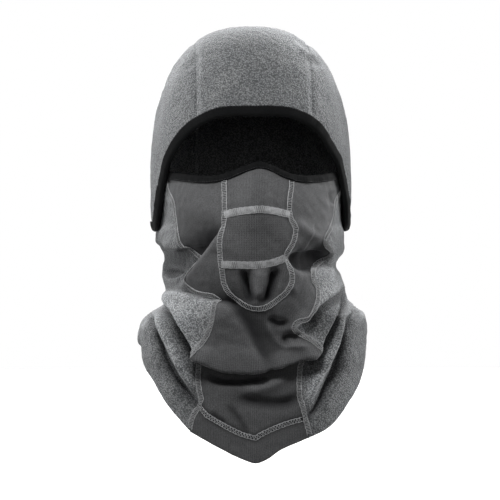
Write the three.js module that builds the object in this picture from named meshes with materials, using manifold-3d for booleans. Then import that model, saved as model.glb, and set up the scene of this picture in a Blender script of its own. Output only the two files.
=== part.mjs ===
// A hinged balaclava: a three-panel fleece hood, a face mask with a separate mouth section, and a neck gaiter.
// Millimetres, +Z up, the face looks along -Y and the wearer's left is +X.
// The origin is the centre of the neck opening, level with the lowest point of the hem.
// Every panel is a sheet of cloth of real thickness, wrapped on the worn shape of the garment.
// Three bodies move: the neck gaiter stays, the hood tips back about the nape seam,
// and the mask turns down about the line between the ears.
import * as THREE from 'three';
import { LoftGeometry } from 'three/addons/geometries/LoftGeometry.js';
import { mergeVertices } from 'three/addons/utils/BufferGeometryUtils.js';
import Module from 'manifold-3d';

// Cloth
const FLEECE = 3.0; // thickness of the hood and of the gaiter's sides
const SHELL = 2.0; // thickness of the smooth windproof cloth of the mask and bib
const JOIN = 0.4; // gap between two panels at a seam
const LIFT = 0.9; // gap between a panel and the thread that lies on it
const THREAD = 0.6; // height of a row of flatlock thread
const FLATLOCK = 5.5; // width of a flatlock seam
const BINDING = 8.0; // visible width of the elastic binding
const TAPE = 0.8; // thickness of the elastic binding
const TAPE_GAP = 1.0; // room between the binding and the cloth inside it

// Hood
const EAR_LEVEL = 235; // height of the widest level of the hood
const HOOD_HALF_WIDTH = 86; // to the middle of the cloth, as the other half sizes are
const HOOD_FRONT = 95;
const HOOD_BACK = 101.5;
const HOOD_NAPE_BACK = 79;
const HOOD_RISE = 141.5; // from the ear level to the crown
const HEAD_Y = 4; // centre of the head, behind the neck's centre
const DOME_POWER = 2.45; // roundness of the hood seen from the front
const RING_POWER = 2.15; // roundness of a level section
const CROWN_HALF_WIDTH = 49; // half the crown panel, seam to seam
const NAPE_Z = 195; // lower edge of the hood at the back

// Mask and gaiter
const EAR_Y = 5; // the line that the mask turns about
const EAR_Z = 228;
const MASK_HALF_WIDTH = 60; // side edges of the mask
const SIDE_SEAM_X = 62; // front edges of the gaiter's sides, level with the mask
const BACK_GAP = 0.002; // half the angle of the gap at the back seam
const SEAM_SLANT = 2.2; // room for the slant of a thick edge next to a thin one
const BIB_HALF_WIDTH = 50; // side seams of the bib at the hem
const CENTRE_HALF_WIDTH = 29; // nose, mouth and chin panels
const CHIN_Z = 133; // lowest point of the centre seam
const CHIN_CURVE = 25; // height over which the centre seam rounds under the chin
const MASK_LIP_Z = 128; // lower edge of the mask
const BIB_TOP_Z = 126;
const NOSE_SEAM_Z = 216;
const MOUTH_SEAM_Z = 172;
const SHOULDER_Z = 104; // hem height over the shoulders
const BACK_HEM_Z = 50; // hem height at the middle of the back
const SHOULDER_HALF_WIDTH = 99.5;
const HEM_ROWS = 2; // rows of a panel's facets that its turned hem covers
const STITCH = 1.6; // width of a single row of stitching
const SIDE_SEAM_INSET = 0.052; // the side seam's place across a gaiter side
const BACK_SPAN = 0.6; // angle of the back that the label and the back seam share

const HOOD_COLUMNS = 56; // facets round the hood
const HOOD_ROWS = 10;
const SIDE_COLUMNS = 16; // facets of a gaiter side
const SIDE_ROWS = 16;
const FRONT_BIAS = 1.25; // gathers the facets of a gaiter side towards its front seam
const BIB_COLUMNS = 12;
const BIB_ROWS = 14;

const COLOURS = { fleece: 0x6d7072, shell: 0x4c4d4f, binding: 0x131416, thread: 0x9a9b9c, label: 0xd8d8d6 };

const wasm = await Module();
wasm.setup();

// ---- Small tools ----

const lerp = THREE.MathUtils.lerp;
const clamp = THREE.MathUtils.clamp;
const smoothstep = THREE.MathUtils.smoothstep;
const degToRad = THREE.MathUtils.degToRad;
const bell = (x, width) => Math.exp(-((x / width) ** 2));
const signedPower = (x, power) => Math.sign(x) * Math.abs(x) ** power;

// A smooth curve through [place, value] pairs, level at both ends.
function through(pairs) {
  const slope = (i) =>
    i <= 0 || i >= pairs.length - 1
      ? 0
      : (pairs[i + 1][1] - pairs[i - 1][1]) / (pairs[i + 1][0] - pairs[i - 1][0]);
  return (place) => {
    const p = clamp(place, pairs[0][0], pairs.at(-1)[0]);
    const i = Math.max(0, pairs.findIndex(([at]) => at >= p) - 1);
    const [x0, y0] = pairs[i];
    const [x1, y1] = pairs[i + 1];
    const step = x1 - x0;
    const t = (p - x0) / step;
    const rise = (2 * t ** 3 - 3 * t ** 2) * (y0 - y1) + y0;
    return rise + step * ((t ** 3 - 2 * t ** 2 + t) * slope(i) + (t ** 3 - t ** 2) * slope(i + 1));
  };
}

// The outward normal of surface(u, v), by small steps either side.
function normalAt(surface, u, v) {
  const step = 0.004;
  const alongU = surface(u + step, v).sub(surface(u - step, v));
  const alongV = surface(u, v + step).sub(surface(u, v - step));
  return alongU.cross(alongV).normalize();
}

// A sheet of cloth whose middle is surface(u, v), u and v from 0 to 1. A dome is closed round, with its crown at v = 1.
function cloth(surface, thickness, columns, rows, dome = false) {
  const corners = [];
  const faces = [];
  const place = (side, i, j) => (side * (columns + 1) + i) * (rows + 1) + j;
  for (const side of [0, 1]) {
    for (let i = 0; i <= columns; i++) {
      for (let j = 0; j <= rows; j++) {
        const [u, v] = [i / columns, j / rows];
        const out = dome && j === rows ? new THREE.Vector3(0, 0, 1) : normalAt(surface, u, v);
        corners.push(...surface(u, v).addScaledVector(out, (side - 0.5) * thickness));
      }
    }
  }
  const quad = (p, q, r, s) => faces.push(p, q, r, p, r, s);
  for (let i = 0; i < columns; i++) {
    for (let j = 0; j < rows; j++) {
      quad(place(1, i, j), place(1, i + 1, j), place(1, i + 1, j + 1), place(1, i, j + 1));
      const [p, q, r, s] = [place(0, i, j), place(0, i + 1, j), place(0, i + 1, j + 1), place(0, i, j + 1)];
      faces.push(p, r, q, p, s, r);
    }
    quad(place(0, i, 0), place(0, i + 1, 0), place(1, i + 1, 0), place(1, i, 0));
    quad(place(1, i, rows), place(1, i + 1, rows), place(0, i + 1, rows), place(0, i, rows));
  }
  for (let j = 0; j < rows && !dome; j++) {
    quad(place(1, 0, j), place(1, 0, j + 1), place(0, 0, j + 1), place(0, 0, j));
    quad(place(0, columns, j), place(0, columns, j + 1), place(1, columns, j + 1), place(1, columns, j));
  }
  return new THREE.BufferGeometry()
    .setAttribute('position', new THREE.Float32BufferAttribute(corners, 3))
    .setIndex(faces);
}

// The surface a distance outside another one.
const offset = (surface, distance) => (u, v) => surface(u, v).addScaledVector(normalAt(surface, u, v), distance);

// One section swept along path(t), t from 0 to 1, which gives the point and the two directions of the section.
function sweep(section, path, steps) {
  const sections = [];
  for (let i = 0; i <= steps; i++) {
    const { point, across, out } = path(i / steps);
    sections.push(section.map(([a, b]) => point.clone().addScaledVector(across, a).addScaledVector(out, b)));
  }
  const start = path(0);
  const along = path(1 / steps).point.sub(start.point);
  if (start.across.clone().cross(start.out).dot(along) < 0) sections.forEach((ring) => ring.reverse());
  return new LoftGeometry(sections, { capStart: true, capEnd: true });
}

// The frame of a line drawn on a surface: line(t) gives u and v, and side turns the across direction round.
function onSurface(surface, line, side = 1) {
  return (t) => {
    const step = 0.004;
    const [u, v] = line(t);
    const point = surface(u, v);
    const out = normalAt(surface, u, v);
    const [u0, v0] = line(Math.max(0, t - step));
    const [u1, v1] = line(Math.min(1, t + step));
    const along = surface(u1, v1).sub(surface(u0, v0)).normalize();
    const across = along.cross(out).normalize().multiplyScalar(side);
    return { point, across, out };
  };
}

// A row of flatlock thread on the outside of cloth of a given thickness.
function threadOn(surface, line, thickness, steps, width = FLATLOCK) {
  const low = thickness / 2 + LIFT;
  const high = low + THREAD;
  const half = width / 2;
  const section = [[-half, low], [half, low], [half, high], [-half, high]];
  return sweep(section, onSurface(surface, line), steps);
}

// Elastic binding folded over an edge: a U whose legs lie on both faces of the cloth.
function bindingOn(surface, line, thickness, steps, side) {
  const inner = thickness / 2 + TAPE_GAP;
  const outer = inner + TAPE;
  const lip = TAPE_GAP + TAPE;
  const legs = [
    [lip - BINDING, inner], [TAPE_GAP, inner], [TAPE_GAP, -inner], [lip - BINDING, -inner],
    [lip - BINDING, -outer], [lip, -outer], [lip, outer], [lip - BINDING, outer],
  ];
  return sweep(legs, onSurface(surface, line, side), steps);
}

// A closed geometry as a manifold solid, turned the right way out, and back.
function toSolid(geometry) {
  const bare = new THREE.BufferGeometry().setAttribute('position', geometry.getAttribute('position').clone());
  bare.setIndex(geometry.index);
  const merged = mergeVertices(bare, 1e-3);
  const corners = [];
  const index = merged.index.array;
  for (let i = 0; i < index.length; i += 3) {
    const [a, b, c] = [index[i], index[i + 1], index[i + 2]];
    if (a !== b && b !== c && c !== a) corners.push(a, b, c);
  }
  const build = (triVerts) =>
    new wasm.Manifold(
      new wasm.Mesh({ numProp: 3, vertProperties: merged.attributes.position.array, triVerts }),
    );
  const solid = build(new Uint32Array(corners));
  return solid.volume() > 0 ? solid : build(new Uint32Array(corners.reverse()));
}

function toGeometry(solid) {
  const { vertProperties, triVerts } = solid.getMesh();
  return new THREE.BufferGeometry()
    .setAttribute('position', new THREE.BufferAttribute(vertProperties, 3))
    .setIndex(new THREE.BufferAttribute(triVerts, 1));
}

// A box between two corners, for cutting.
function block(low, high) {
  const size = high.map((value, k) => value - low[k]);
  const middle = high.map((value, k) => (value + low[k]) / 2);
  return toSolid(new THREE.BoxGeometry(...size).translate(...middle));
}

// ---- The worn shape ----

const powerFor = (power) => 2 / power;

// Depth of the hood behind the head's centre, less at the nape.
const hoodBack = (z) => lerp(HOOD_NAPE_BACK, HOOD_BACK, smoothstep(z, NAPE_Z - 5, 285));

// Hood surface: turn is the angle from the face round to the back, and fall is 0 at the crown and 1 at the ears.
function hoodPoint(turn, fall) {
  const power = powerFor(DOME_POWER);
  const angle = Math.min(fall, 1) * Math.PI / 2;
  const below = Math.max(fall - 1, 0) * HOOD_RISE;
  const z = EAR_LEVEL + HOOD_RISE * signedPower(Math.cos(angle), power) * (fall < 1 ? 1 : 0) - below;
  const share = signedPower(Math.sin(angle), power) - 0.04 * (below / 40) ** 2;
  const ring = powerFor(RING_POWER);
  const across = signedPower(Math.sin(turn), ring) * HOOD_HALF_WIDTH * share;
  const forward = signedPower(Math.cos(turn), ring) * share;
  return new THREE.Vector3(across, HEAD_Y - forward * (forward > 0 ? HOOD_FRONT : hoodBack(z)), z);
}

// The fall at which the hood surface has a given height.
function fallAt(z) {
  return z > EAR_LEVEL
    ? Math.acos(((z - EAR_LEVEL) / HOOD_RISE) ** (DOME_POWER / 2)) / (Math.PI / 2)
    : 1 + (EAR_LEVEL - z) / HOOD_RISE;
}

// The hood's edge on the wearer's left, from the forehead past the temple and the ear flap to the nape.
const RIM = [
  [0, 300], [17, 299.5], [28, 295], [38, 287], [45, 276], [52, 262], [57, 250], [60, 238], [61, 222],
  [63, 209], [70, 202], [85, 200], [105, 199], [130, 197], [155, 195.5], [180, NAPE_Z],
].map(([turn, z]) => new THREE.Vector2(turn, z));
const rimCurve = new THREE.SplineCurve(RIM);

// One side of the rim: t is 0 at the forehead and 1 at the nape.
function rimAt(t) {
  const { x, y } = rimCurve.getPoint(clamp(t, 0, 1));
  return { turn: degToRad(x), fall: fallAt(y) };
}

// The whole hood: u runs once round the rim from the nape, v runs from the rim up to the crown.
function hoodSurface(u, v) {
  const round = THREE.MathUtils.euclideanModulo(u, 1);
  const side = round < 0.5 ? -1 : 1;
  const t = Math.abs(2 * round - 1);
  const rim = rimAt(t);
  const fromCrown = 1 - v;
  const turn = lerp(t * Math.PI, rim.turn, fromCrown ** 2);
  return hoodPoint(side * turn, rim.fall * fromCrown);
}

// Half width, front and back of the mask and gaiter at each height.
const halfWidth = through([[0, 97], [62, 98], [104, SHOULDER_HALF_WIDTH], [118, 98], [130, 90], [140, 80],
  [152, 75.5], [172, 74], [190, 78], [199, 76], [207, 72.5], [226, 73], [250, 73], [262, 72]]);
const maskFront = through([[120, 86], [135, 99], [145, 107], [158, 113], [172, 116], [190, 117], [205, 116],
  [225, 113], [240, 108], [262, 101]]);
const bibFront = through([[0, 108], [30, 101], [62, 95], [90, 91], [105, 94], [126, 105], [140, 110],
  [158, 113], [172, 116], [190, 117], [205, 116], [225, 113], [240, 108], [262, 101]]);
const gaiterBack = through([[40, 98], [62, 95], [90, 87], [115, 79], [145, 72], [175, 69], [215, 69], [262, 75]]);
const noseBump = (x, z) => 8 * bell(x, 19) * bell(z - 230, 30);

// Upper edge: a peak on the nose, level to the ears, falling to the nape.
function topEdge(x, turn) {
  const front = 245.5 + 12 * bell(x, 17) + 2.5 * (x / 78) ** 2;
  return lerp(front, 206, smoothstep(turn, degToRad(75), degToRad(165)));
}

// Lower edge: a point on the chest, up over the shoulders, and down again at the back.
function hemEdge(turn) {
  const share = Math.abs(signedPower(Math.sin(turn), powerFor(RING_POWER)));
  const curve = (share ** 2.2 + 1 - Math.sqrt(Math.max(0, 1 - share ** 2))) / 2;
  return Math.cos(turn) > 0 ? SHOULDER_Z * curve : lerp(BACK_HEM_Z, SHOULDER_Z, curve);
}

function gaiterPoint(turn, z, front = bibFront) {
  const ring = powerFor(RING_POWER);
  const x = signedPower(Math.sin(turn), ring) * halfWidth(z);
  const forward = signedPower(Math.cos(turn), ring);
  const y = forward > 0 ? -forward * front(z) - noseBump(x, z) : -forward * gaiterBack(z);
  return new THREE.Vector3(x, y + HEAD_Y, z);
}

// The turn at which the gaiter is x wide at a height.
function turnAt(x, z) {
  return Math.asin(Math.min(1, x / halfWidth(z)) ** (RING_POWER / 2));
}

const seamX = (z) => lerp(BIB_HALF_WIDTH, SIDE_SEAM_X, smoothstep(z, 70, BIB_TOP_Z));
const centreX = (z) =>
  CENTRE_HALF_WIDTH * Math.sqrt(Math.max(0, 1 - (Math.max(0, CHIN_Z + CHIN_CURVE - z) / CHIN_CURVE) ** 2));

// ---- Hood ----

function hoodPanels() {
  const shell = toSolid(cloth(hoodSurface, FLEECE, HOOD_COLUMNS, HOOD_ROWS, true));
  const cut = CROWN_HALF_WIDTH;
  const far = 300;
  const slab = (from, to) => toGeometry(shell.intersect(block([from, -far, 0], [to, far, 2 * far])));
  return {
    crown_panel: slab(-cut + JOIN / 2, cut - JOIN / 2),
    hood_left_panel: slab(cut + JOIN / 2, far),
    hood_right_panel: slab(-far, -cut - JOIN / 2),
  };
}

// The crown seams run front to back where the hood is CROWN_HALF_WIDTH wide.
function crownSeam(side) {
  const path = (t) => {
    const up = lerp(degToRad(43), degToRad(198), t);
    const from = new THREE.Vector2(HEAD_Y, EAR_LEVEL);
    const inside = (reach) => {
      const y = from.x - Math.cos(up) * reach;
      const z = from.y + Math.sin(up) * reach;
      const rise = Math.max(0, z - EAR_LEVEL) / HOOD_RISE;
      const depth = y < HEAD_Y ? HOOD_FRONT : hoodBack(z);
      const level = (CROWN_HALF_WIDTH / HOOD_HALF_WIDTH) ** RING_POWER + (Math.abs(y - HEAD_Y) / depth) ** RING_POWER;
      return level ** (DOME_POWER / RING_POWER) + rise ** DOME_POWER < 1;
    };
    let near = 0;
    let far = 200;
    for (let i = 0; i < 40; i++) {
      const middle = (near + far) / 2;
      if (inside(middle)) near = middle;
      else far = middle;
    }
    return new THREE.Vector3(side * CROWN_HALF_WIDTH, from.x - Math.cos(up) * near, from.y + Math.sin(up) * near);
  };
  const centre = new THREE.Vector3(0, HEAD_Y, EAR_LEVEL);
  const frame = (t) => {
    const point = path(t);
    const along = path(t + 0.01).sub(path(t - 0.01)).normalize();
    const rough = point.clone().sub(centre);
    rough.z = Math.max(rough.z, 0);
    const across = along.clone().cross(rough).normalize();
    return { point, across, out: across.clone().cross(along).normalize() };
  };
  const low = FLEECE / 2 + 1.5;
  const half = FLATLOCK / 2;
  const section = [[-half, low], [half, low], [half, low + THREAD], [-half, low + THREAD]];
  return sweep(section, frame, 26);
}

// ---- Mask ----

// The front of the mask, u across from the wearer's right to left, v from the lip to the upper edge.
function maskSurface(u, v) {
  const x = lerp(-MASK_HALF_WIDTH, MASK_HALF_WIDTH, u);
  const z = lerp(MASK_LIP_Z, topEdge(x, 0), v);
  return gaiterPoint(Math.sign(x) * turnAt(Math.abs(x), z), z, maskFront);
}

// u and v on the mask for a place given in millimetres.
const maskPlace = (x, z) => [
  (x / MASK_HALF_WIDTH + 1) / 2,
  (z - MASK_LIP_Z) / (topEdge(x, 0) - MASK_LIP_Z),
];

// The outline of the centre panels between two heights, wide by margin, as a prism through the mask.
function centrePrism(low, high, margin) {
  const half = CENTRE_HALF_WIDTH + margin;
  const shape = new THREE.Shape();
  const rounded = CHIN_Z + CHIN_CURVE;
  shape.moveTo(half, high);
  shape.lineTo(-half, high);
  if (low < rounded) {
    shape.lineTo(-half, rounded);
    shape.absellipse(0, rounded, half, CHIN_CURVE + margin, Math.PI, 2 * Math.PI, false, 0);
  } else {
    shape.lineTo(-half, low);
    shape.lineTo(half, low);
  }
  shape.closePath();
  const prism = new THREE.ExtrudeGeometry(shape, { depth: 120, bevelEnabled: false, curveSegments: 20 });
  return toSolid(prism.rotateX(Math.PI / 2).translate(0, -30, 0));
}

function maskPanels() {
  const sheet = toSolid(cloth(maskSurface, SHELL, 24, 16));
  const gap = JOIN / 2;
  const above = 300;
  const within = (low, high) => toGeometry(sheet.intersect(centrePrism(low, high, -gap)));
  return {
    nose_panel: within(NOSE_SEAM_Z + gap, above),
    mouth_panel: within(MOUTH_SEAM_Z + gap, NOSE_SEAM_Z - gap),
    chin_panel: within(CHIN_Z, MOUTH_SEAM_Z - gap),
    face_panel: toGeometry(sheet.subtract(centrePrism(CHIN_Z, above, gap))),
  };
}

// Down one side of the centre panels, round under the chin and up the other side.
function centreSeamLine(t) {
  const rounded = CHIN_Z + CHIN_CURVE;
  const arm = 0.34;
  const top = 236;
  if (t < arm) return maskPlace(-CENTRE_HALF_WIDTH, lerp(top, rounded, t / arm));
  if (t > 1 - arm) return maskPlace(CENTRE_HALF_WIDTH, lerp(rounded, top, (t - 1 + arm) / arm));
  const angle = Math.PI * (1 + (t - arm) / (1 - 2 * arm));
  return maskPlace(CENTRE_HALF_WIDTH * Math.cos(angle), rounded + CHIN_CURVE * Math.sin(angle));
}

function maskThreads() {
  const half = CENTRE_HALF_WIDTH - FLATLOCK / 2 - 0.5;
  const level = (z, arch) => (t) => {
    const x = lerp(-half, half, t);
    return maskPlace(x, z + arch * Math.cos(x / half * Math.PI / 2));
  };
  return {
    centre_seam_thread: threadOn(maskSurface, centreSeamLine, SHELL, 40),
    nose_seam_thread: threadOn(maskSurface, level(NOSE_SEAM_Z, 1.5), SHELL, 12),
    mouth_seam_thread: threadOn(maskSurface, level(MOUTH_SEAM_Z, 0), SHELL, 12),
  };
}

function maskBinding() {
  const line = (t) => [lerp(0.004, 0.996, t), 1];
  return bindingOn(maskSurface, line, SHELL, 24, -1);
}

// ---- Gaiter ----

// A side panel: u from the front seam to the middle of the back, v from the hem to the upper edge.
// The height of a point depends on its turn, and its turn on its height, so the two are closed in on together.
function sideSurface(side) {
  return (u, v) => {
    const back = Math.PI - BACK_GAP;
    let turn = back / 2;
    let z = 0;
    for (let i = 0; i < 24; i++) {
      z = lerp(hemEdge(turn), topEdge(SIDE_SEAM_X, turn), v);
      turn = (turn + lerp(turnAt(seamX(z) + SEAM_SLANT, z), back, signedPower(u, FRONT_BIAS))) / 2;
    }
    return gaiterPoint(side * turn, z);
  };
}

// The bib: u across, v from the hem up to its edge under the chin.
function bibSurface(u, v) {
  const across = 2 * u - 1;
  let z = v * BIB_TOP_Z;
  for (let i = 0; i < 4; i++) {
    const turn = turnAt(seamX(z) * Math.abs(across), z);
    z = lerp(hemEdge(turn), BIB_TOP_Z, v);
  }
  return gaiterPoint(Math.sign(across) * turnAt(seamX(z) * Math.abs(across), z), z);
}

// A turned hem: a strip inside the lower edge of a panel, as tall as its lowest rows of facets.
function hem(surface, thickness, columns, rows) {
  const strip = (u, v) => surface(lerp(1 / columns, 1 - 1 / columns, u), v * HEM_ROWS / rows);
  const depth = Math.sign(thickness) * (Math.abs(thickness) / 2 + LIFT + SHELL / 2);
  return cloth(offset(strip, -depth), SHELL, columns - 2, HEM_ROWS);
}

function hemThread(surface, thickness, columns, rows) {
  const inset = 1.7 / columns; // clear of the side seam
  const line = (t) => [lerp(inset, 1 - inset, t), HEM_ROWS / rows];
  return threadOn(surface, line, thickness, columns - 2, STITCH);
}

// The middle of the back, where the two sides meet.
const backSurface = (u, v) => gaiterPoint(Math.PI + (u - 0.5) * BACK_SPAN, lerp(BACK_HEM_Z, 206, v));

function careLabel() {
  const place = (u, v) => backSurface(lerp(0.35, 0.65, u), lerp(0.66, 0.86, v));
  return cloth(offset(place, -FLEECE / 2 - 1), 0.6, 4, 2);
}

const mirrored = (geometry) => toGeometry(toSolid(geometry).mirror([1, 0, 0]));

// ---- The parts ----

const balaclava = new THREE.Group();
balaclava.name = 'balaclava';

function add(name, geometry, colour, roughness = 0.95) {
  const material = new THREE.MeshStandardMaterial({ color: COLOURS[colour], roughness, metalness: 0 });
  const mesh = new THREE.Mesh(toGeometry(toSolid(geometry)), material);
  mesh.name = name;
  balaclava.add(mesh);
}

for (const [name, geometry] of Object.entries(hoodPanels())) add(name, geometry, 'fleece');
const bareNape = 3 / HOOD_COLUMNS; // share of the rim each side of the nape that is sewn and has no binding
const rimLine = (t) => [lerp(bareNape, 1 - bareNape, t), 0];
add('hood_binding', bindingOn(hoodSurface, rimLine, FLEECE, HOOD_COLUMNS - 6, 1), 'binding', 0.6);
const NAPE_SHARE = 4 / HOOD_COLUMNS;
const napeSurface = (u, v) => hoodSurface(u + 0.5, v);
add('nape_seam_thread', threadOn(napeSurface, (t) => [0.5 + NAPE_SHARE * (t - 0.5), 0.05], FLEECE, 4), 'thread', 0.7);
add('crown_seam_thread_left', crownSeam(1), 'thread', 0.7);
add('crown_seam_thread_right', crownSeam(-1), 'thread', 0.7);

for (const [name, geometry] of Object.entries(maskPanels())) add(name, geometry, 'shell', 0.85);
for (const [name, geometry] of Object.entries(maskThreads())) add(name, geometry, 'thread', 0.7);
add('mask_binding', maskBinding(), 'binding', 0.6);


const left = sideSurface(1);
const turnedOver = (surface) => (u, v) => surface(1 - u, v); // its normal points inwards
const sideParts = {
  panel: [cloth(turnedOver(left), FLEECE, SIDE_COLUMNS, SIDE_ROWS), 'fleece'],
  hem: [hem(turnedOver(left), -FLEECE, SIDE_COLUMNS, SIDE_ROWS), 'fleece'],
  hem_thread: [hemThread(left, FLEECE, SIDE_COLUMNS, SIDE_ROWS), 'thread'],
  side_seam_thread: [threadOn(left, (t) => [SIDE_SEAM_INSET, lerp(0.02, 0.97, t)], FLEECE, 20), 'thread'],
};
for (const [name, [geometry, colour]] of Object.entries(sideParts)) {
  add(`gaiter_left_${name}`, geometry, colour);
  add(`gaiter_right_${name}`, mirrored(geometry), colour);
}
add('back_seam_thread', threadOn(backSurface, (t) => [0.5, lerp(0.02, 0.94, t)], FLEECE, 14), 'thread', 0.7);
add('bib_panel', cloth(bibSurface, SHELL, BIB_COLUMNS, BIB_ROWS), 'shell', 0.85);
add('bib_hem', hem(bibSurface, SHELL, BIB_COLUMNS, BIB_ROWS), 'shell', 0.85);
add('bib_hem_thread', hemThread(bibSurface, SHELL, BIB_COLUMNS, BIB_ROWS), 'thread', 0.7);
add('care_label', careLabel(), 'label', 0.8);

export default balaclava;
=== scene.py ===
# A hinged balaclava, worn: a three-panel fleece hood, a face mask with sewn-in nose, mouth and chin panels,
# and a neck gaiter with fleece sides and a smooth front. Lengths are in millimetres until a mesh is made.
import math

import bpy
import numpy as np
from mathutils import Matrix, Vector


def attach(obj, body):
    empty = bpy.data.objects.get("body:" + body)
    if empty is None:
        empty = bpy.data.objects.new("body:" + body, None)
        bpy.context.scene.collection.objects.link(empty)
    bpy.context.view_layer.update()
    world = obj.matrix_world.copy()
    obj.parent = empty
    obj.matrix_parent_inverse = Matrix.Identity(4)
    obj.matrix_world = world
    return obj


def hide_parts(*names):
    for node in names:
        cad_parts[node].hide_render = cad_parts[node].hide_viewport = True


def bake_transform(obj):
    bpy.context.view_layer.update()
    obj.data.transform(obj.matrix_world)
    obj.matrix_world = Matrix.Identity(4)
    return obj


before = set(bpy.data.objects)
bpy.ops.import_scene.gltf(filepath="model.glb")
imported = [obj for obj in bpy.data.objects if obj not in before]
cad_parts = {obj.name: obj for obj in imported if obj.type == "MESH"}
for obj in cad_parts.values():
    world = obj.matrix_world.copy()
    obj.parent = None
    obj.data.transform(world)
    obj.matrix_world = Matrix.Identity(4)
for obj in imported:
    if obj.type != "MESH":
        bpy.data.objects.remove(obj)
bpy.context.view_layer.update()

MM = 0.001

# ---- Sizes ----

FLEECE = 2.6  # thickness of the hood and of the gaiter's sides
SHELL = 1.6  # thickness of the smooth cloth of the mask and bib
CELL = 1.25  # size of a facet of cloth
FLATLOCK = 4.2  # width of the seam round the mouth
SIDE_FLATLOCK = 4.0  # width of the seams between the bib and the sides
LADDER = 5.6  # width of the two level seams of the mask
HOOD_BINDING = 7.4  # visible width of the elastic binding
MASK_BINDING = 6.0
BINDING_INSIDE = 4.2
TAPE = 0.9  # thickness of the binding
SEAM_THREAD = 0.27  # radius of the thick threads of the flat seams
SEWN_IN = 1.9  # from the inner edge of the binding to its stitches

HEAD_Y = 4.0  # the middle of the head, front to back
EAR_LEVEL = 235.0  # the height at which the hood stops curving inwards
HOOD_HALF_WIDTH = 87.6
HOOD_FRONT = 96.5
HOOD_BACK = 103.0
HOOD_NAPE_BACK = 82.0
HOOD_RISE = 144.0
DOME_POWER = 2.55  # 2 is round from below to above, more is squarer
RING_POWER = 2.15  # the same, round the head and neck
GIRTH_RADIUS = 86.0  # from the neck's axis to its cloth, for the weave's scale
CROWN_HALF_WIDTH = 49.0
CROWN_CENTRE_Z = 282.0
NAPE_Z = 195.0
SHOULDER_Z = 104.0
BACK_HEM_Z = 51.0
NAPE_GAP = 0.028  # half of the nape, as a share of the rim, that has no binding
AMBIENT = (0.03, 0.26)  # how bright the studio is below and above
FLOOR_Z = -0.16  # in metres
BACK_BAND = 20.0  # from the hem to its row of stitches, in the middle of the back

rng = np.random.default_rng(7)


# ---- Curves ----


def curve(*pairs):
    """A smooth function through (place, value) pairs, level at both ends."""
    at, value = (np.array(column, float) for column in zip(*pairs))
    slope = np.zeros(len(at))
    slope[1:-1] = (value[2:] - value[:-2]) / (at[2:] - at[:-2])

    def read(place):
        place = np.clip(place, at[0], at[-1])
        i = np.clip(np.searchsorted(at, place, side="right") - 1, 0, len(at) - 2)
        step = at[i + 1] - at[i]
        t = (place - at[i]) / step
        ends = (2 * t**3 - 3 * t**2 + 1) * value[i] + (3 * t**2 - 2 * t**3) * value[i + 1]
        return ends + step * ((t**3 - 2 * t**2 + t) * slope[i] + (t**3 - t**2) * slope[i + 1])

    return read


def smooth(x, low, high):
    """0 below low, 1 above high and an easy step between; high may be the smaller."""
    t = np.clip((x - low) / (high - low), 0, 1)
    return t * t * (3 - 2 * t)


def bell(x, width):
    return np.exp(-((x / width) ** 2))


def signed_power(x, power):
    return np.sign(x) * np.abs(x) ** power


def unit(vectors):
    return vectors / np.maximum(np.linalg.norm(vectors, axis=-1, keepdims=True), 1e-9)


def reach_along(points):
    """Distance from the first point of a line to each point, along the line."""
    return np.concatenate([[0], np.cumsum(np.linalg.norm(np.diff(points, axis=0), axis=1))])


def spread(points, step):
    """Points every step along a line of points, smoothed as a spline."""
    points = np.asarray(points, float)
    reach = reach_along(points)
    wanted = np.linspace(0, reach[-1], max(2, int(round(reach[-1] / step)) + 1))
    return np.stack([curve(*zip(reach, points[:, k]))(wanted) for k in range(points.shape[1])], axis=1)


def evenly(points, step):
    """Points every step along a dense line of points."""
    reach = reach_along(points)
    wanted = np.linspace(0, reach[-1], max(3, int(round(reach[-1] / step)) + 1))
    return np.stack([np.interp(wanted, reach, points[:, k]) for k in range(points.shape[1])], axis=1)


def nearest_on(line, places):
    """The point of a line nearest to each place, and its distance."""
    spot, best = np.zeros(places.shape), np.full(len(places), 1e9)
    for start, stop in zip(line[:-1], line[1:]):
        along = stop - start
        t = np.clip(((places - start) @ along) / max(along @ along, 1e-9), 0, 1)
        here = start + t[:, None] * along
        gap = np.linalg.norm(places - here, axis=1)
        closer = gap < best
        spot[closer], best[closer] = here[closer], gap[closer]
    return spot, best


def ripples(points, size, seed, stretch=(1, 1, 1)):
    """Smooth noise, from about -1 to 1, with lumps of a given size."""
    count = 24
    waves = np.random.default_rng(seed)
    way = waves.normal(size=(count, 3))
    way /= np.linalg.norm(way, axis=1)[:, None]
    way *= (2 * math.pi / (size * waves.uniform(0.7, 1.5, count)))[:, None] / np.array(stretch)
    total = np.zeros(len(points))
    for k in range(count):
        total += np.sin(points @ way[k] + waves.uniform(0, 2 * math.pi))
    return total / math.sqrt(count / 2) / 1.6


# ---- The worn shape of the gaiter and mask ----

# Half widths of the outside at each height, on the wearer's right and left, with the pinches of the folds.
RIGHT_WIDTH = curve((0, 97), (60, 97.5), (90, 97.5), (108, 97.3), (118, 96), (127, 90.5), (135.5, 79.5), (144, 76.5),
                    (151, 75), (160, 76.3), (170.5, 76.5), (179.7, 76.2), (185.3, 81), (192.3, 83.3), (200, 82.5),
                    (207, 79.5), (226, 79), (250, 78), (262, 77))
LEFT_WIDTH = curve((0, 98), (60, 99), (88, 100), (101, 100.3), (121, 100.3), (130, 98), (136.6, 90), (143, 85),
                   (152, 82), (163, 78.5), (170.5, 75), (176, 76.5), (182, 81), (192, 81.5), (200, 81),
                   (207, 79), (226, 78.5), (250, 78), (262, 77))
FRONT_DEPTH = curve((0, 94), (30, 93.5), (62, 92), (80, 92.5), (92, 99), (105, 100), (126, 106), (140, 111),
                    (158, 114), (172, 117), (190, 118), (205, 117), (225, 114), (240, 109), (262, 102))
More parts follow.
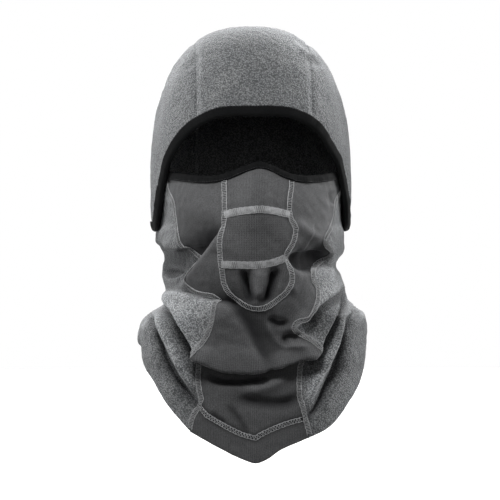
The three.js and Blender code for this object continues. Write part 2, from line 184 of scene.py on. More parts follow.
BACK_DEPTH = curve((40, 99.5), (62, 96.5), (90, 88.5), (115, 80.5), (145, 75), (175, 72.8), (215, 71.5), (262, 76))

# Height of the hem against the share of the half width, on the wearer's right and left.
RIGHT_HEM = curve((0, 4), (0.09, 6.5), (0.24, 13), (0.53, 29), (0.63, 39), (0.735, 51.5), (0.815, 65),
                  (0.93, 84), (1, SHOULDER_Z))
LEFT_HEM = curve((0, 4), (0.1, 7.5), (0.22, 15.5), (0.49, 26.5), (0.66, 36), (0.80, 53.5), (0.895, 68),
                 (0.965, 88), (1, SHOULDER_Z))
# From the hem to its row of stitches, as the front shows it, against the share of the half width.
RIGHT_BAND = curve((0, 20.5), (0.12, 19), (0.3, 18.5), (0.5, 18.5), (0.6, 18), (0.8, 17), (0.9, 19), (1, 26))
LEFT_BAND = curve((0, 20.5), (0.12, 19), (0.3, 18), (0.45, 16.5), (0.55, 20.5), (0.66, 24.5), (0.85, 26.5), (1, 31))
TOP_EDGE = curve((-78, 249.5), (-66.5, 248), (-45.5, 245), (-31.5, 245.5), (-18, 249.5), (-8.5, 253.5), (2, 256.5),
                 (12.5, 254), (22, 249.5), (33, 246), (50.5, 245.5), (71, 249), (78, 249.5))


def half_width(turn, z):
    """turn is the angle round the wearer in radians, 0 at the nose and positive to the wearer's left."""
    return np.where(np.sin(turn) < 0, RIGHT_WIDTH(z), LEFT_WIDTH(z))


def ring(turn):
    """The place of a turn across and forward on a ring that is 1 each way and a little squarer than a circle."""
    return signed_power(np.sin(turn), 2 / RING_POWER), signed_power(np.cos(turn), 2 / RING_POWER)


def across(turn, z):
    return ring(turn)[0] * half_width(turn, z)


def turn_at(x, z):
    """The turn of a place on the front of the gaiter, x from its middle plane."""
    width = np.where(np.asarray(x) < 0, RIGHT_WIDTH(z), LEFT_WIDTH(z))
    return np.sign(x) * np.arcsin(np.clip(np.abs(x) / width, 0, 1) ** (RING_POWER / 2))


def neck_base(turn, z):
    """The outside of the gaiter and mask before it has folds."""
    x, forward = across(turn, z), ring(turn)[1]
    front = -forward * FRONT_DEPTH(z) - 9 * bell(x, 18) * bell(z - 230, 30)
    x = x * (1 - 0.06 * smooth(-forward, 0, 0.35) * smooth(z, 126, 96))
    return np.stack([x, HEAD_Y + np.where(forward > 0, front, -forward * BACK_DEPTH(z)), z], axis=-1)


def hem_height(turn):
    """The z of the hem: a point in front, highest over the shoulders, and lower again at the back."""
    share = np.abs(ring(turn)[0])
    front = np.where(np.sin(turn) < 0, RIGHT_HEM(share), LEFT_HEM(share))
    bow = (share**2.2 + 1 - np.sqrt(np.maximum(0, 1 - share**2))) / 2
    return np.where(np.cos(turn) > 0, front, BACK_HEM_Z + (SHOULDER_Z - BACK_HEM_Z) * bow)


def map_of(turn, z):
    """Places on a flat map of the gaiter: its front view, with the back view opened out on both sides."""
    x = across(turn, z)
    opened = np.sign(x) * 2 * half_width(turn, z) - x
    return np.stack([np.where(np.cos(turn) < 0, opened, x), z], axis=-1)


HEM_TURNS = np.linspace(-math.pi, math.pi, 260)
HEM_LINE = map_of(HEM_TURNS, hem_height(HEM_TURNS))


def hem_distance(turn, z):
    """How far a place is above the hem on that map, negative below the hem."""
    turn, z = np.broadcast_arrays(turn, z)
    gap = np.full(turn.size, 60.0)
    above = z.ravel() - hem_height(turn.ravel())
    near = above < 80
    gap[near] = nearest_on(HEM_LINE, map_of(turn.ravel()[near], z.ravel()[near]))[1]
    return (np.sign(above) * gap).reshape(turn.shape)


def band_width(turn):
    share = np.abs(ring(turn)[0])
    front = np.where(np.sin(turn) < 0, RIGHT_BAND(share), LEFT_BAND(share))
    return front + (BACK_BAND - front) * smooth(-np.cos(turn), 0, 0.8)


def height_above_hem(turn, rise):
    """The z of a place that far above the hem on the map."""
    z = hem_height(turn) + rise
    for _ in range(14):
        z = z + rise - hem_distance(turn, z)
    return z


def top_height(turn):
    """The z of the mask's top edge, which runs down to the nape inside the hood."""
    front = TOP_EDGE(across(turn, 248 + 0 * turn))
    return front + (206 - front) * smooth(np.abs(turn), math.radians(80), math.radians(165))


# ---- Folds ----


class Crease:
    """A fold of cloth drawn across the front, as x and z. Its raised side, if it has one, is on the left of the line.
    ridge lifts the line itself. high and low lift the one side and sink the other, each over its own reach.
    lip pushes the raised edge over the low side, so that it ends at the line drawn."""

    def __init__(self, *line, ridge=0.0, width=4.0, high=0.0, low=0.0, edge=1.4, reach=(12.0, 10.0), lip=0.0,
                 ends=0.25):
        self.line = spread(line, 3.0)
        along = unit(np.gradient(self.line, axis=0))
        self.line += np.stack([-along[:, 1], along[:, 0]], axis=1) * lip * 0.9
        self.ridge, self.width, self.high, self.low, self.edge = ridge, width, high, low, edge
        self.reach, self.lip, self.ends = reach, lip, ends

    def measure(self, places):
        """Distance to the line, positive on its left, a taper that is 0 at its ends, and the way to the left."""
        start, stop = self.line[:-1], self.line[1:]
        along = stop - start
        size = np.linalg.norm(along, axis=1)
        way = along / size[:, None]
        run = np.concatenate([[0], np.cumsum(size)])
        best = np.full(len(places), 1e9)
        side = np.zeros(len(places))
        share = np.zeros(len(places))
        aside = np.zeros((len(places), 2))
        for k in range(len(start)):
            offset = places - start[k]
            t = np.clip(offset @ way[k], 0, size[k])
            rest = offset - t[:, None] * way[k]
            distance = np.linalg.norm(rest, axis=1)
            closer = distance < best
            best = np.where(closer, distance, best)
            turned = way[k][0] * rest[:, 1] - way[k][1] * rest[:, 0]
            side = np.where(closer, np.sign(turned), side)
            share = np.where(closer, (run[k] + t) / run[-1], share)
            aside[closer] = (-way[k][1], way[k][0])
        taper = smooth(np.minimum(share, 1 - share), -0.02, self.ends)
        return best * side, taper, aside

    def apply(self, places):
        """The lift and the sideways push at each place."""
        box = np.array([self.line.min(axis=0) - 60, self.line.max(axis=0) + 60])
        near = np.all((places > box[0]) & (places < box[1]), axis=1)
        lift = np.zeros(len(places))
        push = np.zeros((len(places), 2))
        if near.any():
            d, taper, aside = self.measure(places[near])
            above = (1 + np.tanh(d / self.edge)) / 2
            lift[near] = taper * (
                self.ridge * bell(d, self.width)
                + above * self.high * np.exp(-np.abs(d) / self.reach[0])
                - (1 - above) * self.low * np.exp(-np.abs(d) / self.reach[1])
            )
            push[near] = aside * (-self.lip * taper * bell(d - self.edge, 2.4 * self.edge))[:, None]
        return lift, push


FOLDS = {
    # the wearer's right cheek: a sheet of cloth pulled up from the jaw to the nose
    "cheek_right": Crease((-28, 209), (-35, 198), (-40, 189.5), (-45, 182.5), (-49.5, 177), (-53.5, 172),
                          (-59.5, 165), (-64, 160), (-68, 156), (-73, 150.5),
                          high=3.2, low=12.5, edge=2.0, reach=(17, 19), lip=3.0, ends=0.3),
    "jowl_right": Crease((-84, 191), (-79, 184.5), (-75.5, 182), (-68, 181), (-60, 181),
                         high=3.0, low=4.5, edge=1.8, reach=(8, 7), lip=2.2, ends=0.35),
    "pocket_right": Crease((-88, 168), (-80, 166.5), (-73, 164.5), (-68, 161.5), ridge=-11, width=4.4),
    "collar_right": Crease((-14, 134), (-25.5, 138.5), (-35.5, 141.5), (-45.5, 143.5), (-53.5, 146.5), (-61, 148.5),
                           (-69, 150.5), (-78, 151), high=3.6, low=8.5, edge=1.4, reach=(12, 13), lip=3.4),
    # the wearer's left cheek
    "cheek_left": Crease((30, 210.5), (37, 204.5), (44, 199.5), (51.5, 195.5), (61, 192), ridge=2.6, width=4.5),
    "cheek_left_hollow": Crease((68, 175), (57.5, 171), (51, 168.5), (44.5, 166.5), (37, 167.5), (32, 172.5),
                                (25, 180), high=2.2, low=12.0, edge=3.6, reach=(9, 14), lip=2.6, ends=0.25),
    "cheek_left_pocket": Crease((27, 181), (36, 176.5), (46, 176.5), (57, 179.5), (66, 183), ridge=-6.5, width=8.5),
    "cheek_left_flank": Crease((35.5, 167), (34.5, 160), (32, 154.5), (27, 147), ridge=1.8, width=4),
    "jowl_left": Crease((71, 177), (68, 170.5), (67, 164), (65.5, 158), (62, 150), ridge=2.0, width=2.8),
    "jowl_left_notch": Crease((66, 171.5), (75.5, 170.5), (84, 173), ridge=-3.5, width=3.4),
    "temple_left": Crease((66, 236), (66.5, 230), (67, 222), ridge=-2.2, width=3),
    "lip_left": Crease((35, 118), (43, 125.5), (49, 131.5), (55.5, 137), (62, 141.5), (70, 146), (82, 150.5),
                       high=3.2, low=9.0, edge=1.4, reach=(7, 12), lip=3.2, ends=0.22),
    # the chin panel's two darts and the pleat between them
    "dart_right": Crease((-12, 169), (-10.5, 163.5), (-9, 155.5), (-6.5, 146), (-4, 138), ridge=-12, width=3.3),
    "dart_left": Crease((17, 169), (15.5, 164.5), (13, 155), (10, 146), (8, 138), ridge=-12, width=3.3),
    "dart_middle": Crease((2.5, 170), (2.5, 155), (2, 142), ridge=5.0, width=5.5),
    # the throat and the fold across the chest
    "throat": Crease((14, 83), (6, 93), (-2, 106), (-8, 117), (-15, 127), (-22.5, 136.5), (-30, 143),
                     high=2.8, low=8.5, edge=2.6, reach=(12, 14), lip=1.5, ends=0.18),
    "tuck": Crease((-56, 94), (-51, 91.5), (-40, 85), (-28, 81), (-14, 79.8), (0, 80), (12, 81.8), (24, 85.3),
                   (35, 89), (47, 93), (56, 97),
                   high=4.0, low=6.5, edge=1.4, reach=(11, 12), lip=4.0, ends=0.1),
    "crumple_high": Crease((10, 127), (18.5, 121.5), (28, 123.5), ridge=-5.5, width=3.0),
    "crumple_low": Crease((25, 102), (26.5, 110), (38, 112), ridge=-5, width=2.8),
    "crumple_edge": Crease((9, 129), (12.5, 115.5), (20, 105.5), (34, 103.5), (48, 105.5), ridge=3.2, width=3.4),
    "crumple_seam": Crease((46, 133), (36, 126), (31, 117), (40, 111), ridge=2.5, width=3.2),
    "bib_shade": Crease((-44, 79), (-36, 74.5), (-26, 72.5), (-12, 72.5), (2, 74), (14, 76), ridge=-6.5, width=2.6),
    "bib_low": Crease((-20, 59), (-4, 56.5), (11, 54.5), (28, 55), (43, 61.5), ridge=-5.5, width=4.4),
    "bib_swell": Crease((-12, 66), (8, 68), (28, 77), ridge=3.2, width=4.5),
    "bib_crease": Crease((-24, 54), (-16, 42), (-5, 26), ridge=-2.6, width=3.0),
    "bib_dent": Crease((-38, 47), (-31, 41), (-24, 38), ridge=-2.4, width=2.6),
    # drapes down each side
    "drape_right_deep": Crease((-80, 146), (-75.5, 138), (-70.5, 129), (-64, 119), (-58, 108.5), (-53.5, 100),
                               (-51, 88), high=4.4, low=14.5, edge=1.3, reach=(12, 6.5), lip=4.0, ends=0.12),
    "drape_right_ridge": Crease((-84, 138), (-79.5, 122), (-73.5, 108), (-64.5, 91), (-57, 75), (-50, 61), ridge=6.5,
                                width=4.2),
    "drape_left_deep": Crease((43, 86), (54.5, 97), (59, 107.5), (67.5, 121), (75.5, 135.5), (82, 146),
                              high=3.6, low=15.0, edge=1.3, reach=(9, 7.0), lip=4.0, ends=0.12),
    "drape_left_ridge": Crease((80, 138), (77, 124), (71, 108), (61, 90), (51, 72), (44.5, 58), (42.5, 44),
                               ridge=7.0, width=4.6),
}

ROUND = 1.45  # millimetres round the gaiter for each degree


def drape(*line, **shape):
    """A fold on the sides or back, drawn as the turn in degrees, from the nose past the wearer's left, and z."""
    return Crease(*((turn * ROUND, z) for turn, z in line), **shape)


DRAPES = {
    "back_high_left": drape((96, 170), (122, 163), (150, 160), ridge=-3.2, width=5),
    "back_high_right": drape((208, 158), (236, 161), (264, 171), ridge=-3.2, width=5),
    "back_nape": drape((120, 186), (148, 181), (176, 189), ridge=-1.6, width=5),
    "back_low": drape((112, 140), (145, 130), (180, 134), (214, 128), (248, 142), ridge=-3.4, width=6),
    "back_roll": drape((120, 128), (155, 117), (200, 119), (242, 128), ridge=2.4, width=8),
    "side_left": drape((72, 176), (96, 182), (118, 177), ridge=-3, width=4),
    "side_left_low": drape((78, 146), (98, 142), (125, 126), (150, 104), ridge=-3.5, width=5),
    "side_right": drape((288, 178), (264, 186), (240, 176), ridge=-3, width=4),
    "side_right_low": drape((282, 146), (262, 140), (236, 126), (214, 106), ridge=-3.5, width=5),
    "back_drop_left": drape((163, 122), (156, 100), (148, 80), ridge=-2.2, width=6),
    "back_drop_right": drape((196, 120), (203, 98), (208, 78), ridge=-2.4, width=6),
}


def normals_of(surface, a, b, step_a, step_b):
    along_a = surface(a + step_a, b) - surface(a - step_a, b)
    along_b = surface(a, b + step_b) - surface(a, b - step_b)
    return unit(np.cross(along_a, along_b))


def neck_folds(turn, z, base):
    """How far the folds lift the cloth and push it sideways."""
    facing = smooth(np.cos(turn), -0.12, 0.22)
    lift = np.zeros(len(turn))
    push = np.zeros((len(turn), 2))
    front = np.stack([base[:, 0], z], axis=1)
    for fold in FOLDS.values():
        up, aside = fold.apply(front)
        lift += up * facing
        push += aside * facing[:, None]
    around = np.stack([np.degrees(turn) % 360 * ROUND, z], axis=1)
    for fold in DRAPES.values():
        lift += fold.apply(around)[0] * (1 - facing)
    return lift, push, facing


def fold_depth(turn, z):
    """The mask of the painted fold shade and ridge highlight: 0 on the open cloth, 1 at the bottom of the deepest
    folds and -0.5 on the highest ridges, with up to 0.7 more painted shade along the hem's row of stitches.
    """
    lift, _, _ = neck_folds(turn, z, neck_base(turn, z))
    groove = bell(hem_distance(turn, z) - band_width(turn), 3.4)
    return np.clip(-lift / 9.0 + 0.7 * groove, -0.5, 1)


def neck_surface(turn, z):
    """The outside of the gaiter and mask, folds included."""
    turn, z = np.broadcast_arrays(np.asarray(turn, float), np.asarray(z, float))
    shape = turn.shape
    turn, z = turn.ravel(), z.ravel()
    base = neck_base(turn, z)
    out = normals_of(neck_base, turn, z, 0.01, 0.8)
    lift, push, facing = neck_folds(turn, z, base)
    loose = smooth(z, 215, 185)
    lift += 0.9 * loose * ripples(base, 26, seed=3, stretch=(1.6, 1.6, 0.7)) * (0.35 + 0.65 * (1 - facing))
    lift += 0.22 * ripples(base, 9, seed=4)
    rim = hem_distance(turn, z)
    band = np.where(facing > 0.5, smooth(np.abs(base[:, 0]), 40, 54), 1)
    past = rim - band_width(turn)
    band *= 1 - 0.8 * smooth(np.abs(np.sin(turn)), 0.93, 0.985)
    lift += (0.5 + 2.6 * band) * smooth(rim, -11, 3) * smooth(past, 1, -9)
    lift -= (0.3 + 1.0 * band) * (bell(past + 1.2, 1.0) + bell(past - 1.6, 1.0)) + 2.6 * band * bell(past, 3.2)
    point = base + out * lift[:, None]
    point[:, 0] += push[:, 0]
    point[:, 2] += push[:, 1]
    return point.reshape(shape + (3,))


# ---- The worn shape of the hood ----

# The hood's edge from the forehead past the temple and the ear flap to the nape: turn in degrees, and height.
BROW = ((0, 299.6), (17, 299), (28, 294.5))
NECKLINE = ((92, 203), (100, 202.8), (110, 203.4), (122, 203.6), (138, 201.3), (157, 197), (180, NAPE_Z))
RIGHT_RIM = spread(BROW + ((39.5, 286), (47.5, 275), (55.5, 261), (60.5, 249), (64.3, 237), (67, 223), (71.5, 212.5),
                           (76, 206), (81, 202.8), (86, 202.2)) + NECKLINE, 0.5)
LEFT_RIM = spread(BROW + ((38, 286), (45.5, 275), (53.5, 261), (59.5, 249), (64, 237), (68.5, 223), (73, 213),
                          (78, 207), (84.5, 204.2)) + NECKLINE, 0.5)


def hood_point(turn, fall):
    """fall is 0 at the crown and 1 at the ears."""
    angle = np.minimum(fall, 1) * math.pi / 2
    below = np.maximum(fall - 1, 0) * HOOD_RISE
    z = EAR_LEVEL + HOOD_RISE * np.abs(np.cos(angle)) ** (2 / DOME_POWER) * (fall < 1) - below
    share = np.abs(np.sin(angle)) ** (2 / DOME_POWER) - 0.04 * (below / 40) ** 2
    sideways, forward = (way * share for way in ring(turn))
    back = HOOD_NAPE_BACK + (HOOD_BACK - HOOD_NAPE_BACK) * smooth(z, NAPE_Z - 5, 285)
    y = HEAD_Y - forward * np.where(forward > 0, HOOD_FRONT, back)
    return np.stack([sideways * HOOD_HALF_WIDTH, y, z], axis=-1)


def fall_at(z):
    high = np.arccos(np.clip((z - EAR_LEVEL) / HOOD_RISE, 0, 1) ** (DOME_POWER / 2)) / (math.pi / 2)
    return np.where(z > EAR_LEVEL, high, 1 + (EAR_LEVEL - z) / HOOD_RISE)


def hood_base(u, v):
    """u runs once round the rim from the nape, v from the rim up to the crown."""
    round_ = np.asarray(u) % 1
    side = np.where(round_ < 0.5, -1, 1)
    share = np.abs(2 * round_ - 1)
    right, left = (
        [np.interp(share, np.linspace(0, 1, len(rim)), rim[:, k]) for k in (0, 1)] for rim in (RIGHT_RIM, LEFT_RIM)
    )
    rim_turn = np.radians(np.where(side < 0, right[0], left[0]))
    rim_fall = fall_at(np.where(side < 0, right[1], left[1]))
    down = 1 - np.asarray(v)
    even = share * math.pi
    turn = even + (rim_turn - even) * down**2
    return hood_point(side * turn, rim_fall * down)


HOOD_DENTS = {
    "seam_right": Crease((-49, 300), (-49, 340), (-49, 366), ridge=-1.3, width=2.6, ends=0.02),
    "seam_left": Crease((49, 300), (49, 340), (49, 366), ridge=-1.3, width=2.6, ends=0.02),
    "pinch_right": Crease((-60, 337), (-53, 345), (-46, 354), ridge=-1.8, width=4),
    "pinch_left_high": Crease((36, 370), (44, 363), (52, 357), ridge=-2.4, width=3.5),
    "pinch_left_low": Crease((46, 352), (53, 346), (60, 341), ridge=-2.2, width=3.5),
    "swell_left": Crease((40, 358), (48, 352), (56, 350), ridge=1.4, width=3.5),
}


def hood_surface(u, v):
    u, v = np.broadcast_arrays(np.asarray(u, float), np.asarray(v, float))
    shape = u.shape
    u, v = u.ravel(), v.ravel()
    base = hood_base(u, v)
    out = normals_of(hood_base, u, np.minimum(v, 0.995), 0.002, 0.004)
    out[v > 0.996] = (0, 0, 1)
    lift = np.zeros(len(u))
    ahead = smooth(base[:, 1], 30, 5)
    for dent in HOOD_DENTS.values():
        lift += dent.apply(base[:, [0, 2]])[0] * ahead
    lift -= 1.3 * (1 - ahead) * bell(np.abs(base[:, 0]) - CROWN_HALF_WIDTH, 2.6)
    lift += 0.5 * ripples(base, 34, seed=11) * smooth(base[:, 2], 378, 330) + 0.12 * ripples(base, 8, seed=12)
    return (base + out * lift[:, None]).reshape(shape + (3,))


# ---- Meshes ----


def vertex_normals(points, faces):
    a, b, c, d = (points[faces[:, k]] for k in range(4))
    face = np.cross(c - a, d - b)
    total = np.zeros_like(points)
    for k in range(4):
        np.add.at(total, faces[:, k], face)
    return unit(total)


def make_mesh(name, points, faces, uvs, material, depth=None):
    """A mesh object from points in millimetres. uvs are one for each point, in metres of cloth."""
    mesh = bpy.data.meshes.new(name)
    mesh.from_pydata((points * MM).tolist(), [], faces)
    layer = mesh.uv_layers.new(name="weave")
    corners = np.zeros(len(mesh.loops), dtype=np.int32)
    mesh.loops.foreach_get("vertex_index", corners)
    layer.data.foreach_set("uv", uvs[corners].ravel())
    rest = mesh.attributes.new("rest", "FLOAT_VECTOR", "POINT")
    rest.data.foreach_set("vector", (points * MM).ravel())
    # depth becomes the fold attribute, the mask for the painted fold shade and ridge highlight
    if depth is not None:
        mesh.attributes.new("fold", "FLOAT", "POINT").data.foreach_set("value", depth)
    mesh.polygons.foreach_set("use_smooth", np.ones(len(mesh.polygons), dtype=bool))
    mesh.validate()
    obj = bpy.data.objects.new(name, mesh)
    bpy.context.scene.collection.objects.link(obj)
    mesh.materials.append(material)
    return obj


def thicken(name, points, faces, uvs, thickness, material, depth=None):
    """A closed sheet of cloth from its outside face: a second face inside it, and the cut edge round it."""
    faces = np.asarray(faces)
    inward = points - vertex_normals(points, faces) * thickness
    count = len(points)
    border = open_edges(faces)
    rim = np.stack([border[:, 1], border[:, 0], border[:, 0] + count, border[:, 1] + count], axis=1)
    everything = np.concatenate([faces, faces[:, ::-1] + count, rim])
    depth = None if depth is None else np.concatenate([depth, depth])
    points, uvs = np.concatenate([points, inward]), np.concatenate([uvs, uvs])
    return make_mesh(name, points, polygons(everything.tolist()), uvs, material, depth)


def polygons(faces):
    """Faces whose corners have partly fallen together, each corner counted once."""
    single = ([corner for k, corner in enumerate(face) if corner != face[k - 1]] for face in faces)
    return [face for face in single if len(face) > 2]


def take(faces, keep, count):
    """The kept faces with their points renumbered, and which points they use."""
    kept = faces[keep]
    used = np.unique(kept)
    order = np.full(count, -1)
    order[used] = np.arange(len(used))
    return order[kept], used


def open_edges(faces):
    """The edges that only one face has, in the direction in which it has them."""
    edges = np.concatenate([np.stack([faces[:, k], faces[:, (k + 1) % 4]], axis=1) for k in range(4)])
    count = faces.max() + 1
    code = edges[:, 0].astype(np.int64) * count + edges[:, 1]
    back = edges[:, 1].astype(np.int64) * count + edges[:, 0]
    return edges[~np.isin(code, back)]


def grid_faces(columns, rows):
    i, j = np.meshgrid(np.arange(columns), np.arange(rows), indexing="ij")
    corner = i * (rows + 1) + j
    return np.stack([corner, corner + rows + 1, corner + rows + 2, corner + 1], axis=-1).reshape(-1, 4)


def tube_faces(rings, around):
    """The quads of a tube of rings, each with that many points around."""
    i, j = np.meshgrid(np.arange(rings - 1), np.arange(around), indexing="ij")
    a, b = i * around + j, i * around + (j + 1) % around
    return np.stack([a, b, b + around, a + around], axis=-1).reshape(-1, 4)


def join(objects, name):
    """One object out of several."""
    with bpy.context.temp_override(active_object=objects[0], selected_editable_objects=objects):
        bpy.ops.object.join()
    objects[0].name = name
    objects[0].data.name = name
    return objects[0]


# ---- Seams ----


def frame_on(surface, a, b, step_a, step_b):
    """Points, outward directions and sideways directions along a line drawn on a surface."""
    point = surface(a, b)
    out = normals_of(surface, a, b, step_a, step_b)
    along = unit(np.gradient(point, axis=0))
    return point, out, unit(np.cross(out, along))


def on_neck(turn, z):
    return frame_on(neck_surface, turn, z, 0.012, 0.9)


def on_hood(u, v):
    return frame_on(hood_surface, u, v, 0.002, 0.006)


class Run:
    """A line on the cloth that stitches follow, read by distance along it, sideways of it and above the cloth."""

    def __init__(self, point, out, aside):
        self.point, self.out, self.aside = point, out, aside
        self.reach = reach_along(point)
        self.length = self.reach[-1]

    def at(self, place, sideways, height):
        place, sideways, height = np.broadcast_arrays(np.clip(place, 0, self.length), sideways, height)
        middle, up, side = (
            np.stack([np.interp(place, self.reach, v[:, k]) for k in range(3)], axis=-1)
            for v in (self.point, self.out, self.aside)
        )
        up = unit(up)
        return middle + unit(side) * sideways[..., None] + up * height[..., None], up


def threads(name, lines, outs, radius, material, sides=5):
    """Round threads, one for each row of lines, with outs pointing away from the cloth."""
    count, n = lines.shape[:2]
    along = unit(np.gradient(lines, axis=1))
    side = unit(np.cross(along, outs))
    lift = np.cross(side, along)
    angle = np.arange(sides) * 2 * math.pi / sides
    ring = np.cos(angle)[:, None] * side[:, :, None, :] + np.sin(angle)[:, None] * lift[:, :, None, :]
    points = lines[:, :, None, :] + ring * radius
    starts = np.arange(count) * n * sides
    faces = (tube_faces(n, sides)[:, [0, 3, 2, 1]] + starts[:, None, None]).reshape(-1, 4).tolist()
    first, last = np.arange(sides), (n - 1) * sides + np.arange(sides)[::-1]
    for base in starts:
        faces += [(first + base).tolist(), (last + base).tolist()]
    step = np.linalg.norm(np.diff(lines, axis=1), axis=2)
    run = np.concatenate([np.zeros((count, 1)), np.cumsum(step, axis=1)], axis=1)
    u = np.broadcast_to(run[:, :, None], points.shape[:3])
    v = np.broadcast_to(angle * radius, points.shape[:3])
    uvs = np.stack([u, v], axis=-1).reshape(-1, 2) * MM
    return make_mesh(name, points.reshape(-1, 3), faces, uvs, material)


def rail(name, run, sideways, material, thread):
    """A row of stitches laid end to end, each dipping into the cloth where the needle went in."""
    length = 2.4
    place = np.arange(0, run.length, 0.4)
    bob = 0.1 + 0.34 * np.abs(np.sin(math.pi * place / length)) ** 0.6
    sway = sideways + 0.14 * np.sin(2 * math.pi * place / (2 * length))
    line, up = run.at(place, sway, bob)
    return threads(name, line[None], up[None], thread, material, 6)


def rungs(name, run, width, material, pitch, slant):
    """Threads that cross a seam from one row of stitches to the other."""
    count = max(3, int(run.length / pitch))
    shares = np.array([-0.5, -0.44, -0.22, 0.0, 0.22, 0.44, 0.5])
    heights = np.array([-0.1, 0.26, 0.4, 0.45, 0.4, 0.26, -0.1])
    place = (np.arange(count)[:, None] + 0.5 + rng.normal(0, 0.06, (count, 1))) * pitch
    place = place + shares * pitch * slant * np.where(np.arange(count) % 2, 1, -1)[:, None]
    sideways = shares * width * (1 + rng.normal(0, 0.03, (count, 1)))
    height = heights + rng.normal(0, 0.04, (count, 1))
    line, up = run.at(place, sideways, height)
    return threads(name, line, up, SEAM_THREAD, material)


def flatlock(name, run, width, material, pitch=1.45, slant=0.3):
    """A flatlock seam: a row of stitches down each edge and threads that cross between them."""
    parts = [rungs(f"{name}_rungs", run, width, material, pitch, slant)]
    if width >= LADDER:
        parts.append(rungs(f"{name}_cover", run, width * 0.94, material, pitch * 0.93, -slant))
    for edge, thread in ((-0.5, 0.95 * SEAM_THREAD), (0.5, 1.2 * SEAM_THREAD)):
        parts.append(rail(f"{name}_rail", run, edge * width, material, thread))
    return join(parts, name)


def stitches(name, run, material, length, gap, thread, offsets, sink):
    """Rows of separate stitches, each dipping into the cloth at its ends. offsets are the rows' places sideways."""
    share = np.linspace(0, 1, 6)
    start = np.arange(0.5, run.length - length, length + gap)
    bow = np.array([-0.3, 0.10, 0.2, 0.2, 0.10, -0.3]) - sink
    parts = []
    for k, offset in enumerate(offsets):
        line, up = run.at(start[:, None] + share * length, offset, bow)
        parts.append(threads(f"{name}_{k}", line, up, thread, material))
    return join(parts, name)


def bound_edge(name, point, out, inward, cloth, width, material):
    """Elastic binding folded over an edge. inward points from the edge into the cloth, width is the outer leg's."""
    along = unit(np.gradient(point, axis=0))
    run = reach_along(point)
    half = cloth / 2 + 0.35
    whole = half + TAPE
    bend = np.radians(np.linspace(90, -90, 9))
    leg = np.linspace(width - 1.2, 0, 7)
    inside_leg = np.linspace(BINDING_INSIDE - 1.2, 0, 7)
    outer_nose = [(-math.cos(a) * whole, math.sin(a) * whole) for a in bend]
    inner_nose = [(-math.cos(a) * half, math.sin(a) * half) for a in bend[::-1]]
    bulge = 0.28 * np.sin(math.pi * leg / (width - 1.2))
    profile = [(x, whole + b) for x, b in zip(leg, bulge)][:-1] + outer_nose
    profile += [(x, -whole - b) for x, b in zip(inside_leg[::-1], bulge[::-1])][1:]
    profile += [(x, -half) for x in inside_leg][:-1] + inner_nose + [(x, half) for x in leg[::-1]][1:]
    profile = np.array(profile)
    n, m = len(point), len(profile)
    pucker = 0.10 * np.sin(2 * math.pi * run / 3.1 + 0.8 * np.sin(run / 9.0)) + 0.12 * ripples(point, 11, seed=21)
    middle = point - out * cloth / 2
    reach, up = profile[None, :, 0, None], profile[None, :, 1, None]
    up = up + np.sign(up) * pucker[:, None, None] * smooth(reach, -2, 2)
    rings = middle[:, None, :] + reach * inward[:, None, :] + up * out[:, None, :]
    faces = tube_faces(n, m)
    caps = [list(range(m))[::-1], [(n - 1) * m + k for k in range(m)]]
    if np.dot(np.cross(along[0], inward[0]), out[0]) > 0:
        faces, caps = faces[:, ::-1], [cap[::-1] for cap in caps]
    girth = reach_along(profile)
    uvs = np.stack([np.repeat(run, m), np.tile(girth, n)], axis=1) * MM
    return make_mesh(name, rings.reshape(-1, 3), faces.tolist() + caps, uvs, material)


# ---- Materials ----


